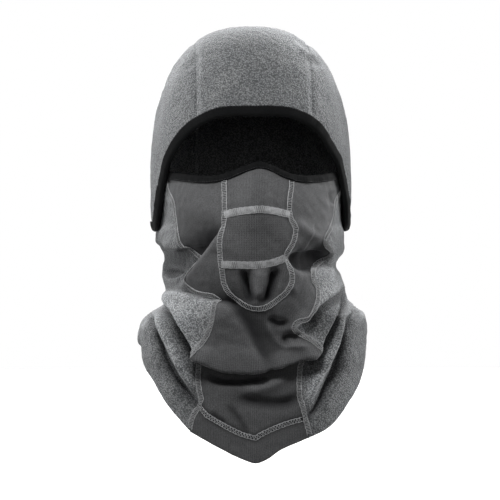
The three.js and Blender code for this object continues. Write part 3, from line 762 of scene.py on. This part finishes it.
class Nodes:
    """The shader nodes of a material or world. A link's source is another node's socket or a plain value."""

    def __init__(self, owner):
        self.owner = owner
        owner.use_nodes = True
        self.tree = owner.node_tree

    def node(self, kind, links=None, **values):
        made = self.tree.nodes.new(kind)
        for key, value in values.items():
            setattr(made, key, value)
        for socket, source in (links or {}).items():
            self.put(made.inputs[socket], source)
        return made

    def put(self, socket, source):
        if isinstance(source, bpy.types.NodeSocket):
            self.tree.links.new(source, socket)
        else:
            socket.default_value = source

    def math(self, operation, a, b=0.0, c=0.0):
        made = self.node("ShaderNodeMath", operation=operation)
        for socket, source in zip(made.inputs, (a, b, c)):
            self.put(socket, source)
        return made.outputs[0]

    def rest(self):
        return self.node("ShaderNodeAttribute", attribute_name="rest").outputs["Vector"]

    def weave(self):
        """Metres across and along the cloth."""
        return self.axes(self.node("ShaderNodeUVMap", uv_map="weave").outputs["UV"])[:2]

    def axes(self, vector):
        return self.node("ShaderNodeSeparateXYZ", {0: vector}).outputs[:]

    def wave(self, place, length, kind="SINE"):
        """Ribs, one for each length in metres."""
        return self.math(kind, self.math("MULTIPLY", place, 2 * math.pi / length))

    def noise(self, vector, scale, detail=2.0, roughness=0.5):
        links = {"Vector": vector, "Scale": scale, "Detail": detail, "Roughness": roughness}
        return self.node("ShaderNodeTexNoise", links).outputs["Fac"]

    def grains(self, vector, scale):
        links = {"Vector": vector, "Scale": scale, "Smoothness": 0.6}
        return self.node("ShaderNodeTexVoronoi", links, feature="SMOOTH_F1").outputs["Distance"]

    def ramp(self, factor, *stops):
        made = self.node("ShaderNodeValToRGB", {"Fac": factor})
        elements = made.color_ramp.elements
        while len(elements) < len(stops):
            elements.new(0.5)
        for element, (place, colour) in zip(elements, stops):
            element.position = place
            element.color = (*colour, 1)
        return made.outputs["Color"]

    def mix(self, factor, a, b, blend="MIX"):
        made = self.node("ShaderNodeMix", data_type="RGBA", blend_type=blend)
        for socket, source in zip((made.inputs["Factor"], made.inputs[6], made.inputs[7]), (factor, a, b)):
            self.put(socket, (*source, 1) if isinstance(source, tuple) and len(source) == 3 else source)
        return made.outputs[2]

    def bump(self, height, strength, distance):
        links = {"Height": height, "Strength": strength, "Distance": distance}
        return self.node("ShaderNodeBump", links).outputs["Normal"]

    def painted_fold_shade(self, colour, wear_and_ridge_highlight):
        """Painted shade and painted highlight: the colour is darkened towards the bottom of each fold and lightened
        along its ridges by the given factor, read from the fold attribute.
        """
        depth = self.node("ShaderNodeAttribute", attribute_name="fold").outputs["Fac"]
        place = self.math("MULTIPLY_ADD", depth, 0.6, 0.35)
        # painted highlight on the highest ridges, no change on open cloth, painted shade down to 0.11 at the bottom
        # of the deepest folds
        shade = self.ramp(place, (0.05, (wear_and_ridge_highlight, wear_and_ridge_highlight, wear_and_ridge_highlight)), (0.35, (1, 1, 1)), (0.5, (0.66, 0.66, 0.66)),
                          (0.72, (0.30, 0.30, 0.31)), (0.95, (0.11, 0.11, 0.12)))
        return self.mix(1.0, colour, shade, "MULTIPLY")

    def finish(self, colour, normal=None, **values):
        shader = self.tree.nodes["Principled BSDF"]
        self.put(shader.inputs["Base Color"], colour)
        if normal is not None:
            self.put(shader.inputs["Normal"], normal)
        for key, value in values.items():
            shader.inputs[key.replace("_", " ")].default_value = value
        return self.owner


def new_material(name):
    return Nodes(bpy.data.materials.new(name))


def fleece_material(name, dark, light):
    """Napped fleece: matted clumps of fibre about a millimetre across, with dark pits between them."""
    n = new_material(name)
    rest = n.rest()
    wander = n.node("ShaderNodeTexNoise", {"Vector": rest, "Scale": 900.0, "Detail": 1.0}).outputs["Color"]
    bent = n.node("ShaderNodeVectorMath", {0: wander, 1: (0.0016,) * 3}, operation="MULTIPLY").outputs[0]
    place = n.node("ShaderNodeVectorMath", {0: rest, 1: bent}, operation="ADD").outputs[0]
    clumps = n.grains(place, 820.0)
    fuzz = n.noise(rest, 2600.0, 3.0, 0.6)
    drift = n.noise(rest, 55.0, 3.0, 0.55)
    pile = n.math("MULTIPLY_ADD", fuzz, 0.55, n.math("MULTIPLY", clumps, -0.9))
    pile = n.math("ADD", pile, 0.45)
    shade = n.ramp(pile, (0.18, dark), (0.62, light))
    # paler and darker patches of tone at random
    wear_and_ridge_highlight = n.ramp(drift, (0.3, (0.86, 0.87, 0.88)), (0.7, (1.12, 1.12, 1.11)))
    # the pile's colour with painted shade in the folds and a painted highlight of 2.2 times along the ridges
    colour = n.painted_fold_shade(n.mix(1.0, shade, wear_and_ridge_highlight, "MULTIPLY"), 2.2)
    normal = n.bump(pile, 0.75, 0.0011)
    return n.finish(colour, normal, Roughness=0.95, Sheen_Weight=0.45, Sheen_Roughness=0.42,
                    Sheen_Tint=(0.86, 0.88, 0.90, 1), Specular_IOR_Level=0.18)


def softshell_material(name, dark, light, pores=0.0):
    """Smooth heathered knit with fine upright ribs, and small dark pores in the piece over the mouth."""
    n = new_material(name)
    rest = n.rest()
    u, v = n.weave()
    u = n.math("ADD", u, n.math("MULTIPLY", n.noise(rest, 260.0, 2.0), 0.0007))
    rib, course = n.wave(u, 0.00125), n.wave(v, 0.0009)
    speck = n.math("SUBTRACT", n.noise(rest, 1150.0, 3.0, 0.7), 0.5)
    height = n.math("MULTIPLY_ADD", rib, 0.13, n.math("MULTIPLY_ADD", course, 0.07, 0.5))
    height = n.math("MULTIPLY_ADD", speck, 1.5, height)
    if pores:
        grid = n.math("ADD", n.wave(u, 0.0019, "COSINE"), n.wave(v, 0.0019, "COSINE"))
        pore = n.math("MAXIMUM", n.math("SUBTRACT", grid, 0.9), 0.0)
        height = n.math("MULTIPLY_ADD", pore, -pores, height)
    shade = n.ramp(height, (0.1, dark), (0.9, light))
    drift = n.ramp(n.noise(rest, 38.0, 3.0), (0.3, (0.9, 0.9, 0.9)), (0.7, (1.1, 1.1, 1.1)))
    # the knit's colour with painted shade in the folds and a painted highlight of 1.5 times along the ridges
    colour = n.painted_fold_shade(n.mix(1.0, shade, drift, "MULTIPLY"), 1.5)
    normal = n.bump(height, 0.35, 0.0004)
    return n.finish(colour, normal, Roughness=0.85, Sheen_Weight=0.10, Sheen_Roughness=0.4,
                    Sheen_Tint=(0.85, 0.87, 0.9, 1), Specular_IOR_Level=0.15)


def binding_material():
    """Black elastic tape with fine ribs across it."""
    n = new_material("binding_elastic")
    u, v = n.weave()
    height = n.math("MULTIPLY_ADD", n.wave(v, 0.0011), 0.2, n.math("MULTIPLY_ADD", n.wave(u, 0.0009), 0.3, 0.5))
    lint = n.noise(n.rest(), 1100.0, 3.0, 0.7)
    shade = n.ramp(lint, (0.35, (0.002, 0.0021, 0.0022)), (0.8, (0.006, 0.0062, 0.0066)))
    normal = n.bump(height, 0.4, 0.0003)
    return n.finish(shade, normal, Roughness=0.8, Specular_IOR_Level=0.04)


def thread_material(name, dark, light):
    """Twisted polyester thread."""
    n = new_material(name)
    u, v = n.weave()
    twist = n.math("ADD", n.math("MULTIPLY", u, 2 * math.pi / 0.0007), n.math("MULTIPLY", v, 3800.0))
    strand = n.math("MULTIPLY_ADD", n.math("SINE", twist), 0.5, 0.5)
    patch = n.noise(n.rest(), 300.0, 2.0)
    shade = n.ramp(n.math("MULTIPLY_ADD", patch, 0.6, n.math("MULTIPLY", strand, 0.4)), (0.2, dark), (0.8, light))
    return n.finish(shade, n.bump(strand, 0.3, 0.0001), Roughness=0.65, Specular_IOR_Level=0.15)


def label_material():
    """White woven satin, blank."""
    n = new_material("label_satin")
    place = n.node("ShaderNodeTexCoord").outputs["Object"]
    satin = n.wave(n.axes(place)[2], 0.0004)
    shade = n.ramp(n.noise(place, 400.0, 3.0), (0.3, (0.55, 0.55, 0.53)), (0.7, (0.68, 0.68, 0.66)))
    return n.finish(shade, n.bump(satin, 0.25, 0.0001), Roughness=0.45, Sheen_Weight=0.1)


def floor_material():
    """Pale and matt, almost even."""
    n = new_material("floor_pale")
    place = n.node("ShaderNodeTexCoord").outputs["Object"]
    shade = n.ramp(n.noise(place, 3.0, 2.0), (0.0, (0.86, 0.86, 0.86)), (1.0, (0.9, 0.9, 0.9)))
    return n.finish(shade, None, Roughness=0.9)


FLEECE_LOOK = fleece_material("fleece_grey", (0.046, 0.0475, 0.049), (0.185, 0.189, 0.193))
SHELL_LOOK = softshell_material("softshell_grey", (0.026, 0.026, 0.027), (0.082, 0.083, 0.085))
MESH_LOOK = softshell_material("softshell_pores", (0.024, 0.024, 0.025), (0.090, 0.091, 0.093), 0.5)
BINDING_LOOK = binding_material()
THREAD_LOOK = thread_material("thread_grey", (0.13, 0.132, 0.135), (0.36, 0.365, 0.37))
FLEECE_THREAD_LOOK = thread_material("thread_fleece", (0.07, 0.073, 0.076), (0.17, 0.175, 0.18))
BLACK_THREAD_LOOK = thread_material("thread_black", (0.008, 0.008, 0.009), (0.03, 0.03, 0.033))


# ---- Building the gaiter and mask ----

# Each panel's slot, the CAD nodes it stands for, the size that its cut fits in and its area, in metres, how it is
# held, and what is sewn to it.
CLOTH = {
    "crown_cloth": ("fleece", ("crown_panel",), (0.115, 0.41), 0.0385, "stretched",
                    ("crown_seam_left", "crown_seam_right", "nape_flatlock", "hood_edge_binding",
                     "hood_binding_stitches")),
    "hood_side_left": ("fleece", ("hood_left_panel",), (0.18, 0.19), 0.0235, "stretched", ()),
    "hood_side_right": ("fleece", ("hood_right_panel",), (0.18, 0.19), 0.0235, "stretched", ()),
    "nose_cloth": ("softshell", ("nose_panel",), (0.062, 0.046), 0.0024, "stretched", ()),
    "mouth_cloth": ("softshell", ("mouth_panel",), (0.069, 0.048), 0.0029, "stretched",
                    ("nose_flatlock", "mouth_flatlock")),
    "chin_cloth": ("softshell", ("chin_panel",), (0.064, 0.047), 0.0026, "stretched", ()),
    "front_panel": ("softshell", ("face_panel", "bib_panel"), (0.19, 0.28), 0.027, "gathered",
                    ("centre_flatlock", "side_flatlock_right", "side_flatlock_left", "mask_edge_binding",
                     "mask_binding_stitches", "hem_inside_front", "bib_hem_stitches")),
    "side_panel_left": ("fleece", ("gaiter_left_panel",), (0.30, 0.22), 0.041, "gathered",
                        ("hem_inside_left", "hem_stitches_left", "care_label")),
    "side_panel_right": ("fleece", ("gaiter_right_panel",), (0.30, 0.22), 0.041, "gathered",
                         ("hem_inside_right", "hem_stitches_right", "back_flatlock")),
}

# Seams on the front, as x and z, from the top down or from the wearer's right.
SEAMS = {
    "right": ((-76.5, 251), (-73.5, 240), (-72.5, 233.5), (-69, 225), (-68.5, 216.5), (-68, 207), (-67.5, 197.5),
              (-66, 189.5), (-62, 183.5), (-56, 178.5), (-51, 174.5), (-50, 171.5), (-51.5, 168), (-56.5, 162.5),
              (-60, 157.5), (-59.5, 153.5), (-56.5, 150.5), (-52, 148), (-45.5, 146.5), (-38.5, 145), (-34.5, 141),
              (-34.5, 135), (-36.5, 124.5), (-40.5, 113), (-46, 102), (-49, 90), (-49, 77), (-47.5, 65.5),
              (-46, 57.5), (-49.5, 48.5), (-52.5, 39), (-54, 29), (-54.5, 20)),
    "left": ((79, 251), (77.5, 240), (75.5, 233), (71, 226), (68, 213), (66, 205), (59.5, 194), (61.5, 188),
             (65.5, 183.5), (65.5, 178), (61.5, 172), (54.5, 167), (50, 162.5), (48.5, 157), (52, 151.5),
             (50.5, 143), (42, 131), (33.5, 124.5), (31.5, 118), (40, 112), (48, 107), (51.5, 100.5), (49, 95),
             (43.5, 91), (39.5, 85), (38, 77), (37.5, 65.5), (39.5, 53.5), (42.5, 41.5), (45, 30), (46.5, 18)),
    "centre": ((-27, 262), (-27, 238.5), (-27, 224.5), (-27.2, 212.5), (-27.8, 201), (-29.5, 189), (-30, 177.5),
               (-29, 166), (-27.5, 154), (-21.5, 144.5), (-9, 136), (0, 134), (9, 136), (18, 142.5), (25.5, 149.5),
               (28.5, 158.5), (25.5, 170.5), (25, 180), (30.5, 190.5), (32.5, 201), (28, 212.5), (27.5, 224.5),
               (29.5, 238.5), (30, 262)),
    "nose": ((-27.5, 213.5), (-16, 216), (2, 217.8), (14.5, 216.5), (28, 213.5)),
    "mouth": ((-29.5, 172), (-16, 171.5), (1.5, 171.5), (13.5, 173.5), (25, 177.5)),
}
SEAM_LINES = {name: spread(seam, 0.8) for name, seam in SEAMS.items()}


def inside(places, outline):
    """Whether each place is inside a closed outline."""
    x, z = places[:, 0], places[:, 1]
    result = np.zeros(len(places), dtype=bool)
    for (x0, z0), (x1, z1) in zip(outline, np.roll(outline, -1, axis=0)):
        crosses = (z0 > z) != (z1 > z)
        with np.errstate(divide="ignore", invalid="ignore"):
            result ^= crosses & (x < (x1 - x0) * (z - z0) / (z1 - z0) + x0)
    return result


def snap(places, line, reach):
    """Places within reach of a line moved onto it."""
    spot, gap = nearest_on(line, places)
    return np.where((gap < reach)[:, None], spot, places)


def neck_grid():
    columns, rows = int(560 / CELL), int(200 / CELL)
    turn, rise = np.meshgrid(np.linspace(-math.pi, math.pi, columns + 1), np.linspace(0, 1, rows + 1), indexing="ij")
    turn, rise = turn.ravel(), rise.ravel()
    low, high = hem_height(turn), top_height(turn)
    return turn, low + (high - low) * rise, grid_faces(columns, rows)


def neck_panels():
    """The gaiter and mask cut along their seams: faces, turn and z for each panel."""
    turn, z, faces = neck_grid()
    middle = np.stack([across(turn, z), z], axis=1)[faces].mean(axis=1)
    ahead = np.cos(turn[faces]).mean(axis=1) > 0
    past = 400.0
    right, left, centre = (SEAM_LINES[k] for k in ("right", "left", "centre"))
    front_outline = np.concatenate([[(right[0][0], past)], right, [(right[-1][0], -past)],
                                    [(left[-1][0], -past)], left[::-1], [(left[0][0], past)]])
    centre_outline = np.concatenate([[(centre[0][0], past)], centre, [(centre[-1][0], past)]])
    front = ahead & inside(middle, front_outline)
    core = front & inside(middle, centre_outline)
    over_nose, over_mouth = (middle[:, 1] > np.interp(middle[:, 0], *SEAM_LINES[k].T) for k in ("nose", "mouth"))
    side = np.sin(turn[faces]).mean(axis=1)
    cuts = {
        "front_panel": (front & ~core, ("right", "left", "centre")),
        "nose_cloth": (core & over_nose, ("centre", "nose")),
        "mouth_cloth": (core & ~over_nose & over_mouth, ("centre", "nose", "mouth")),
        "chin_cloth": (core & ~over_mouth, ("centre", "mouth")),
        "side_panel_right": (~front & (side < 0), ("right",)),
        "side_panel_left": (~front & (side > 0), ("left",)),
    }
    panels = {}
    for name, (keep, seams) in cuts.items():
        own, used = take(faces, keep, len(turn))
        t, h = turn[used].copy(), z[used].copy()
        edge = np.unique(open_edges(own))
        edge = edge[np.cos(t[edge]) > 0.05]
        spots = np.stack([across(t[edge], h[edge]), h[edge]], axis=1)
        for seam in seams:
            spots = snap(spots, SEAM_LINES[seam], 1.1 * CELL)
        t[edge], h[edge] = turn_at(spots[:, 0], spots[:, 1]), spots[:, 1]
        panels[name] = (own, t, h)
    return panels


def build_neck():
    for name, (faces, turn, z) in neck_panels().items():
        thickness, look = (FLEECE, FLEECE_LOOK) if CLOTH[name][0] == "fleece" else (SHELL, SHELL_LOOK)
        if name == "mouth_cloth":
            look = MESH_LOOK
        uvs = np.stack([turn * GIRTH_RADIUS * MM, z * MM], axis=1)
        # the mask of the painted fold shade and ridge highlight for this panel
        depth = fold_depth(turn, z)
        add_cloth(ride_front, thicken(name, neck_surface(turn, z), faces, uvs, thickness, look, depth))


# ---- Building the hood ----


def hood_grid():
    columns, rows = 420, 150
    u, v = np.meshgrid(np.linspace(0, 1, columns + 1), np.linspace(0, 1, rows + 1), indexing="ij")
    return hood_surface(u, v), grid_faces(columns, rows)


def build_hood():
    points, faces = hood_grid()
    points = points.reshape(-1, 3)
    cut = CROWN_HALF_WIDTH
    middle = points[:, 0][faces].mean(axis=1)
    uvs = np.stack([points[:, 0] + 0.3 * points[:, 1], points[:, 2]], axis=1) * MM
    for name, keep, seams in (("crown_cloth", np.abs(middle) <= cut, (-cut, cut)),
                              ("hood_side_left", middle > cut, (cut,)),
                              ("hood_side_right", middle < -cut, (-cut,))):
        own, used = take(faces, keep, len(points))
        spots = points[used].copy()
        edge = np.unique(open_edges(own))
        for seam in seams:
            near = edge[np.abs(spots[edge, 0] - seam) < 1.6]
            spots[near, 0] = seam
        own, left = take(weld(own, spots), slice(None), len(spots))
        add_cloth(ride_hood, thicken(name, spots[left], own, uvs[used][left], FLEECE, FLEECE_LOOK))


def weld(faces, points):
    """Faces with points that lie in the same place made one."""
    _, first, inverse = np.unique(np.round(points, 4), axis=0, return_index=True, return_inverse=True)
    return first[inverse.ravel()][faces]


# ---- Assembly ----


def ride_front(piece):
    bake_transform(piece)


def ride_hood(piece):
    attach(piece, "hood")


def add(ride, piece, slot, *nodes):
    """A finished piece: the nodes it stands for, which are hidden, and the body it moves with; its slot is not used.
    """
    if nodes:
        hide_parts(*nodes)
    ride(piece)


def add_cloth(ride, piece):
    slot, nodes = CLOTH[piece.name][:2]
    add(ride, piece, slot, *nodes)


def make_floor():
    mesh = bpy.data.meshes.new("floor")
    corners = [(x, y, FLOOR_Z) for x, y in ((-6, -6), (6, -6), (6, 6), (-6, 6))]
    mesh.from_pydata(corners, [], [(0, 1, 2, 3)])
    floor = bpy.data.objects.new("floor", mesh)
    bpy.context.scene.collection.objects.link(floor)
    mesh.materials.append(floor_material())
    floor.visible_diffuse = False


def make_light(name, kind, source, strength):
    """A light that shines from the direction of source."""
    data = bpy.data.lights.new(name, kind)
    data.energy = strength
    light = bpy.data.objects.new(name, data)
    light.rotation_euler = Vector(source).to_track_quat("Z", "Y").to_euler()
    bpy.context.scene.collection.objects.link(light)
    return light


def make_lights():
    """A white studio: lit from above and in front, and from behind at both sides."""
    world = bpy.data.worlds.new("studio")
    n = Nodes(world)
    white = (1, 1, 1, 1)
    up = n.axes(n.node("ShaderNodeTexCoord").outputs["Generated"])[2]
    links = {"Value": up, "From Min": -1, "To Min": AMBIENT[0], "To Max": AMBIENT[1]}
    brightness = n.node("ShaderNodeMapRange", links).outputs["Result"]
    lit = n.tree.nodes["Background"]
    n.put(lit.inputs["Color"], white)
    n.put(lit.inputs["Strength"], brightness)
    seen = n.node("ShaderNodeBackground", {"Color": white})
    path = n.node("ShaderNodeLightPath").outputs["Is Camera Ray"]
    mix = n.node("ShaderNodeMixShader", {0: path, 1: lit.outputs[0], 2: seen.outputs[0]})
    n.put(n.tree.nodes["World Output"].inputs["Surface"], mix.outputs[0])
    bpy.context.scene.world = world
    bpy.context.scene.view_settings.view_transform = "Standard"
    key = make_light("key", "AREA", (-0.12, -0.58, 0.56), 9)
    key.data.size = 0.2
    key.location = (-0.12, -0.66, 0.78)
    for name, source, strength, softness in (
        ("fill", (0.0, -1.0, 0.12), 0.3, 25), ("side_right", (-1.0, 0.3, 0.25), 3.2, 35),
        ("side_left", (1.0, 0.42, 0.3), 5.0, 35), ("back", (0.0, 1.0, 0.75), 5.2, 30),
    ):
        make_light(name, "SUN", source, strength).data.angle = math.radians(softness)


def make_camera():
    """Level with the mouth, a little towards the wearer's right, so that the near features shift to the left side."""
    distance, sideways, height = 2.6, math.radians(2.7), 0.184
    frame_width = 0.4365  # what the view takes in at the middle of the head
    camera = bpy.data.cameras.new("camera")
    camera.sensor_width = 36
    camera.lens = 36 * distance / frame_width
    obj = bpy.data.objects.new("camera", camera)
    obj.location = (-distance * math.sin(sideways) - 0.0006, -distance * math.cos(sideways), height)
    obj.rotation_euler = (math.radians(90), 0, -sideways)
    bpy.context.scene.collection.objects.link(obj)
    bpy.context.scene.camera = obj




def sew_mask():
    """The pale flatlock seams of the mask and down both sides of the bib."""
    for name, seam, width, pitch, slant, node in (
        ("centre_flatlock", "centre", FLATLOCK, 1.45, 0.25, "centre_seam_thread"),
        ("nose_flatlock", "nose", LADDER, 0.85, 0.5, "nose_seam_thread"),
        ("mouth_flatlock", "mouth", LADDER, 0.8, 0.5, "mouth_seam_thread"),
        ("side_flatlock_right", "right", SIDE_FLATLOCK, 1.25, 0.25, "gaiter_right_side_seam_thread"),
        ("side_flatlock_left", "left", SIDE_FLATLOCK, 1.25, 0.25, "gaiter_left_side_seam_thread"),
    ):
        line = SEAM_LINES[seam]
        turn = turn_at(line[:, 0], line[:, 1])
        keep = (line[:, 1] < TOP_EDGE(line[:, 0]) - MASK_BINDING + 2) & (line[:, 1] > hem_height(turn) + 1)
        x, z = evenly(line[keep], 0.6).T
        run = Run(*on_neck(turn_at(x, z), z))
        add(ride_front, flatlock(name, run, width, THREAD_LOOK, pitch, slant), "thread", node)


def hem_row(first, last):
    """Turn and z along the hem's stitches between two turns."""
    turn = np.linspace(first, last, 400)
    return turn, height_above_hem(turn, band_width(turn))


def sew_hems():
    """The hem's rows of stitches: pale across the bib, and sunk in the pile of the fleece."""
    turn, z = hem_row(-1.2, 1.2)
    x = across(turn, z)
    right, left = (np.interp(-z, -SEAM_LINES[k][:, 1], SEAM_LINES[k][:, 0]) for k in ("right", "left"))
    bib = (x > right + 2.5) & (x < left - 2.5)
    turn, z = turn[bib], z[bib]
    piece = flatlock("bib_hem_stitches", Run(*on_neck(turn, z)), 3.6, THREAD_LOOK, 1.3, 0.8)
    add(ride_front, piece, "thread", "bib_hem_thread")
    for name, ends, node in (
        ("hem_stitches_right", (-math.pi + 0.05, turn[0] - 0.05), "gaiter_right_hem_thread"),
        ("hem_stitches_left", (turn[-1] + 0.05, math.pi - 0.05), "gaiter_left_hem_thread"),
    ):
        run = Run(*on_neck(*hem_row(*ends)))
        piece = stitches(name, run, FLEECE_THREAD_LOOK, 2.6, 0.8, 0.24, (-1.4, 1.4), 0.15)
        add(ride_front, piece, "thread", node)


def turn_up_hems():
    """The cloth of the hem turned up inside the gaiter."""
    for name, ends, gap, thickness, look, slot, node in (
        ("hem_inside_right", (-math.pi + 0.01, -0.62), FLEECE, 1.8, FLEECE_LOOK, "fleece", "gaiter_right_hem"),
        ("hem_inside_front", (-0.6, 0.52), SHELL, 1.2, SHELL_LOOK, "softshell", "bib_hem"),
        ("hem_inside_left", (0.54, math.pi - 0.01), FLEECE, 1.8, FLEECE_LOOK, "fleece", "gaiter_left_hem"),
    ):
        columns, rows = int((ends[1] - ends[0]) * GIRTH_RADIUS / 2.0), 9
        turn, share = np.meshgrid(np.linspace(*ends, columns + 1), np.linspace(0, 1, rows + 1), indexing="ij")
        turn, share = turn.ravel(), share.ravel()
        z = height_above_hem(turn, 0.6 + share * (band_width(turn) + 2))
        inward = normals_of(neck_surface, turn, z, 0.012, 0.9) * (gap + 0.35)
        points = neck_surface(turn, z) - inward
        uvs = np.stack([turn * GIRTH_RADIUS * MM, z * MM], axis=1)
        add(ride_front, thicken(name, points, grid_faces(columns, rows), uvs, thickness, look), slot, node)


def sew_back():
    """The gaiter's seam down the middle of the back."""
    z = np.linspace(BACK_HEM_Z + 1, 203, 160)
    run = Run(*on_neck(np.full(160, math.pi - 1e-4), z))
    add(ride_front, flatlock("back_flatlock", run, SIDE_FLATLOCK, FLEECE_THREAD_LOOK), "thread", "back_seam_thread")


def crown_line(side):
    """Where the hood crosses the plane of a crown seam, from the forehead over the top to the nape."""
    grid, _ = hood_grid()
    found = []
    for a, b in ((grid[:-1], grid[1:]), (grid[:, :-1], grid[:, 1:])):
        gap_a, gap_b = a[..., 0] - side, b[..., 0] - side
        cross = gap_a * gap_b < 0
        t = (gap_a[cross] / (gap_a[cross] - gap_b[cross]))[:, None]
        found.append(a[cross] * (1 - t) + b[cross] * t)
    found = np.concatenate(found)
    angle = np.arctan2(found[:, 2] - CROWN_CENTRE_Z, -(found[:, 1] - HEAD_Y))
    angle = np.where(angle < -math.pi / 2 - 0.2, angle + 2 * math.pi, angle)
    found = found[np.argsort(angle)]
    line = evenly(found[:: max(1, len(found) // 220)], 1.2)
    for _ in range(6):
        line[1:-1] = (line[:-2] + 2 * line[1:-1] + line[2:]) / 4
    along = unit(np.gradient(line, axis=0))
    out = unit(line - np.array([0.0, HEAD_Y, CROWN_CENTRE_Z]))
    out = unit(out - along * np.sum(out * along, axis=1, keepdims=True))
    return line, out, unit(np.cross(out, along))


def sew_hood():
    for name, side, node in (("crown_seam_right", -CROWN_HALF_WIDTH, "crown_seam_thread_right"),
                             ("crown_seam_left", CROWN_HALF_WIDTH, "crown_seam_thread_left")):
        piece = stitches(name, Run(*crown_line(side)), FLEECE_THREAD_LOOK, 2.2, 1.6, 0.2, (0.0,), 0.15)
        add(ride_hood, piece, "thread", node)
    run = Run(*on_hood(np.linspace(-NAPE_GAP, NAPE_GAP, 90), np.full(90, 0.022)))
    add(ride_hood, flatlock("nape_flatlock", run, LADDER, FLEECE_THREAD_LOOK, 0.8, 0.5), "thread", "nape_seam_thread")


def bind(ride, name, point, out, inward, cloth, width):
    """Binding along an edge, and the stitches that hold it."""
    piece = bound_edge(f"{name}_edge_binding", point, out, inward, cloth, width, BINDING_LOOK)
    add(ride, piece, "binding", f"{name}_binding")
    run, row = Run(point, out, inward), (width - SEWN_IN,)
    piece = stitches(f"{name}_binding_stitches", run, BLACK_THREAD_LOOK, 1.6, 0.7, 0.2, row, -TAPE - 0.35)
    add(ride, piece, "thread")


def bind_edges():
    """Black binding along the top of the mask and round the hood's face opening and flaps."""
    turn = turn_at(np.linspace(-77.5, 77.0, 300), np.full(300, 249.0))
    point, out, _ = on_neck(turn, top_height(turn))
    inward = unit(np.cross(unit(np.gradient(point, axis=0)), out))
    inward *= -np.sign(inward[:, 2:3])
    bind(ride_front, "mask", point, out, inward, SHELL, MASK_BINDING)

    u = np.linspace(NAPE_GAP, 1 - NAPE_GAP, 620)
    point, out, _ = on_hood(u, 0 * u)
    inward = hood_surface(u, 0 * u + 0.03) - point
    for way in (out, unit(np.gradient(point, axis=0))):
        inward = unit(inward - way * np.sum(inward * way, axis=1, keepdims=True))
    bind(ride_hood, "hood", point, out, inward, FLEECE, HOOD_BINDING)


def main():
    make_camera()
    build_neck()
    build_hood()
    turn_up_hems()
    sew_mask()
    sew_hems()
    sew_back()
    sew_hood()
    bind_edges()
    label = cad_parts["care_label"]
    label.data.materials.clear()
    label.data.materials.append(label_material())
    make_floor()
    make_lights()


main()
